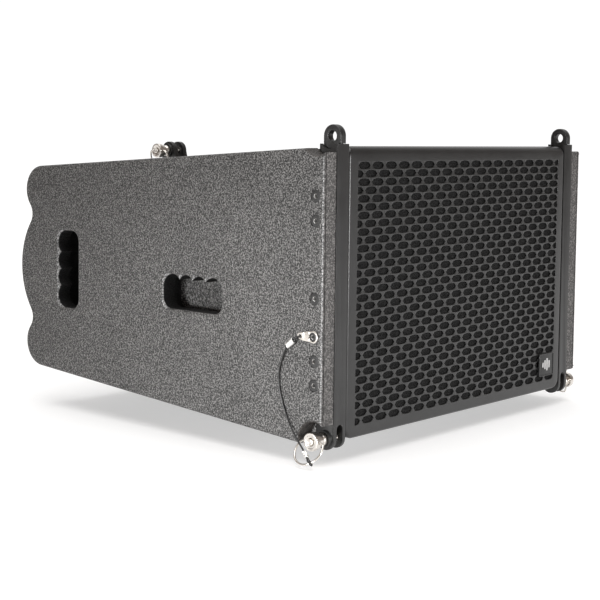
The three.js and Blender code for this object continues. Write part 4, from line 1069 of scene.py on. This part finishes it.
# ---- Front rigging --------------------------------------------------------------------------------
RAIL_OUT_X, RAIL_IN_X, RAIL_FRONT, BOSS_H = INNER_X - 0.4, INNER_X - 18.0, -1.2, 4.5


def tongue_mesh():
    rail_top, inner_front, half = 152.8, 2.1, 11.5
    outline = arc(PIN_Y, LUG_Z, half, 0, math.pi, 28)
    outline += [(PIN_Y - half, rail_top + GAP), (inner_front, rail_top + GAP), (inner_front, 64.0),
                (PIN_Y + half, 64.0)]
    hole = arc(PIN_Y, LUG_Z, 5.3, 0, 2 * math.pi, 36)[:-1]
    middle = -(RAIL_OUT_X + RAIL_IN_X) / 2
    return plate_mesh([outline, hole], middle - 4.0, middle + 4.0, 0.9)


def outer_front_edge(place):
    return place.y < RAIL_FRONT + 0.1 and place.x < -RAIL_OUT_X + 0.1


def make_front_rigging():
    rail = refined("front_rail_left", 0.6, 3, worn=outer_front_edge, worn_width=1.7)
    finish_piece("front_rail_right_coated", mirrored(rail), RIGGING, "root", ["front_rail_right"])
    finish_piece("front_rail_left_coated", rail, RIGGING, "root", ["front_rail_left"])
    tongue = tongue_mesh()
    finish_piece("front_tongue_right_coated", mirrored(tongue), RIGGING, "root",
                 ["front_tongue_right"])
    finish_piece("front_tongue_left_coated", tongue, RIGGING, "root", ["front_tongue_left"])
    tab = refined("lanyard_tab_left", 0.35, 2)
    finish_piece("lanyard_tab_right_polished", mirrored(tab), NICKEL, "root",
                 ["lanyard_tab_right"])
    finish_piece("lanyard_tab_left_polished", tab, NICKEL, "root", ["lanyard_tab_left"])


make_front_rigging()


# ---- Ball-lock pins -------------------------------------------------------------------------------
SHANK_R, SHANK_IN, BARREL_R, BARREL_H, HEAD_R, HEAD_H, BUTTON_R = 5.0, 22.5, 7.0, 11.2, 9.25, 7.0, 3.3
BUTTON_PROUD = 1.3


def pin_body_mesh(seat, outward, ring_axis):
    """The pin's turned body, with the cross holes for its ring."""
    face = BARREL_H + HEAD_H
    profile = [
        (0, -SHANK_IN), (SHANK_R - 1.6, -SHANK_IN), (SHANK_R, -SHANK_IN + 1.6), (SHANK_R, 0), (BARREL_R, 0),
        (BARREL_R, 3.2), (BARREL_R - 0.7, 3.9), (BARREL_R - 0.7, 4.9), (BARREL_R, 5.6), (BARREL_R, BARREL_H - 1.6),
        (BARREL_R - 0.8, BARREL_H - 1.2), (BARREL_R - 0.8, BARREL_H), (HEAD_R, BARREL_H), (HEAD_R, face),
        (HEAD_R - 2.6, face), (HEAD_R - 3.1, face - 0.5), (BUTTON_R + 1.2, face - 0.5),
        (BUTTON_R + GAP, face - 1.2), (BUTTON_R + GAP, face - 10.5), (0, face - 10.5),
    ]
    axis = Vector((outward, 0, 0))
    body = turned(rounded_profile(profile, 0.6), seat, axis, 48)
    hinge = Vector(seat) + axis * (BARREL_H + HEAD_H / 2)
    for sign in (-1, 1):
        direction = Vector(ring_axis) * sign
        start = hinge + direction * (HEAD_R - 2.4)
        body = carved(body, turned([(0, 0), (1.5, 0), (1.5, 4), (0, 4)], start, direction, 20))
    balls = []
    for sign in (-1, 1):
        centre = Vector(seat) - axis * (SHANK_IN - 4.5) + Vector(ring_axis) * sign * (SHANK_R - 0.9)
        profile = [(1.6 * math.sin(math.pi * i / 10), -1.6 * math.cos(math.pi * i / 10)) for i in range(11)]
        balls.append(turned(profile, centre, ring_axis, 20))
    return combined([body, *balls])


def pin_button_mesh(seat, outward):
    face = BARREL_H + HEAD_H
    profile = [(0, face - 6.5), (BUTTON_R, face - 6.5), (BUTTON_R, face + BUTTON_PROUD),
               (BUTTON_R * 0.55, face + BUTTON_PROUD), (BUTTON_R * 0.45, face + BUTTON_PROUD - 0.35),
               (0, face + BUTTON_PROUD - 0.35)]
    return turned(rounded_profile(profile, 0.45), seat, (outward, 0, 0), 40)


def pin_ring_mesh(hinge, along, hang):
    """A wire bail whose ends turn into the head's cross holes."""
    half_chord = math.sqrt(BAIL_R ** 2 - BAIL_DROP ** 2)
    opening = math.atan2(half_chord, -BAIL_DROP) - 0.12
    flat = [(HEAD_R - 2.0, 0.0), (HEAD_R + 1.2, 0.0)]
    for i in range(17):
        angle = opening - 2 * opening * i / 16
        flat.append((BAIL_R * math.sin(angle), BAIL_DROP + BAIL_R * math.cos(angle)))
    flat += [(-HEAD_R - 1.2, 0.0), (-HEAD_R + 2.0, 0.0)]
    points = [Vector(hinge) + Vector(along) * u + Vector(hang) * v for u, v in flat]
    return loft(tube_points(catmull_rom(points, 6), BAIL_WIRE_R, 14))


def make_pin(name, seat, outward, hinge, along, hang):
    finish_piece(name + "_turned", pin_body_mesh(seat, outward, along), NICKEL, name, [name], 50)
    finish_piece(name + "_button_turned", pin_button_mesh(seat, outward), NICKEL, name + "_button",
                 [name + "_button"], 50)
    finish_piece(name + "_ring_bent", pin_ring_mesh(hinge, along, hang), NICKEL, name + "_ring",
                 [name + "_ring"], 60)


def make_pins():
    seat_x = RAIL_OUT_X + BOSS_H + GAP
    make_pin("front_pin_left", (-seat_x, PIN_Y, PIN_Z), -1, *ring_axes("left"))
    make_pin("front_pin_right", (seat_x, PIN_Y, PIN_Z), 1, *ring_axes("right"))
    rear_x = -(5.0 + 6.0 + 3.0 + GAP)
    tilt = math.radians(-15.0)
    hinge = Vector((rear_x - BARREL_H - HEAD_H / 2, 474.3, 138.2))
    make_pin("rear_pin", (rear_x, 474.3, 138.2), -1, hinge, Vector((0, 1, 0)),
             Vector((-math.sin(tilt), 0, -math.cos(tilt))))


make_pins()


# ---- Rear rigging and connectors ------------------------------------------------------------------
def make_rear():
    finish_piece("rear_bracket_coated", refined("rear_bracket", 0.7, 3), RIGGING, "root",
                 ["rear_bracket"])
    finish_piece("splay_bar_coated", refined("splay_bar", 0.7, 3), RIGGING, "splay_bar",
                 ["splay_bar"])
    finish_piece("guide_bolt_oxide", refined("guide_bolt", 0.5, 3), SCREW, "root", ["guide_bolt"])
    finish_piece("connector_plate_coated", refined("connector_plate", 0.4, 2), RIGGING, "root",
                 ["connector_plate"])
    for i in (1, 2):
        finish_piece(f"speaker_socket_{i}_moulded", refined(f"speaker_socket_{i}", 0.5, 2), PLASTIC, "root",
                     [f"speaker_socket_{i}"])


make_rear()

# ---- Carried-over CAD nodes, inside the cabinet ------------------------------------------------------
INSIDE = {
    "woofer_basket": RIGGING, "woofer_magnet": RIGGING, "woofer_cone": CONE, "woofer_surround": RUBBER,
    "waveguide": PLASTIC, "compression_driver": RIGGING, "crossover_board": CIRCUIT,
}
for node_name, node_material in INSIDE.items():
    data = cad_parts[node_name].data
    data.materials.clear()
    data.materials.append(node_material)


# ---- Stage ----------------------------------------------------------------------------------------
ROOM_COLOUR = (0.2, 0.172, 0.155, 1.0)
BACKDROP_LEVEL, FLOOR_GLOW = 1.05, 0.45


def make_stage():
    bpy.ops.mesh.primitive_plane_add(size=14.0, location=at(0, 200, FLOOR_Z))
    floor = bpy.context.object
    floor.name = "floor"
    n = Nodes("floor_paper")
    tint = n.ramp(n.noise(3.0), [(0.3, 0.6), (0.7, 0.62)])
    glow = {"Emission_Color": (1.0, 1.0, 1.0, 1.0), "Emission_Strength": FLOOR_GLOW}
    floor.data.materials.append(n.finish(tint, n.spread(n.noise(40.0), 0.85, 0.95), **glow))
    world = bpy.data.worlds.new("world")
    world.use_nodes = True
    tree = world.node_tree
    direction = tree.nodes.new("ShaderNodeTexCoord").outputs["Generated"]
    towards_backdrop = tree.nodes.new("ShaderNodeVectorMath")
    towards_backdrop.operation = "DOT_PRODUCT"
    towards_backdrop.inputs[1].default_value = (0.745, 0.666, 0.0)
    tree.links.new(direction, towards_backdrop.inputs[0])
    level = tree.nodes.new("ShaderNodeMapRange")
    level.inputs["From Min"].default_value, level.inputs["From Max"].default_value = 0.4, 0.85
    tree.links.new(towards_backdrop.outputs["Value"], level.inputs["Value"])
    colour = tree.nodes.new("ShaderNodeValToRGB")
    colour.color_ramp.elements[0].color = ROOM_COLOUR
    colour.color_ramp.elements[1].color = (1.0, 1.0, 1.0, 1.0)
    tree.links.new(level.outputs["Result"], colour.inputs["Fac"])
    tree.links.new(colour.outputs["Color"], tree.nodes["Background"].inputs["Color"])
    tree.nodes["Background"].inputs["Strength"].default_value = BACKDROP_LEVEL
    bpy.context.scene.world = world
    bpy.context.scene.view_settings.view_transform = "Standard"


def soft_spot(name, place, target, width, power):
    """A broad lamp whose light fades towards the rim of its cone."""
    data = bpy.data.lights.new(name, "SPOT")
    data.spot_size = math.radians(width)
    data.spot_blend = 1.0
    data.shadow_soft_size = 0.3
    data.energy = power
    light = bpy.data.objects.new(name, data)
    light.location = place
    light.rotation_euler = (Vector(target) - Vector(place)).to_track_quat("-Z", "Y").to_euler()
    bpy.context.scene.collection.objects.link(light)


def soft_sun(name, direction, angle, strength):
    data = bpy.data.lights.new(name, "SUN")
    data.angle = angle
    data.energy = strength
    light = bpy.data.objects.new(name, data)
    light.rotation_euler = Vector(direction).to_track_quat("-Z", "Y").to_euler()
    bpy.context.scene.collection.objects.link(light)


make_stage()
soft_spot("left", (-2.0, 0.05, -0.3), (-0.24, 0.0, -0.42), 30.0, 300.0)
soft_spot("front", (0.0, -2.0, -0.15), (-0.12, 0.0, -0.27), 36.0, 125.0)
soft_sun("overhead", (0.1, 0.05, -1.0), math.radians(65.0), 2.6)
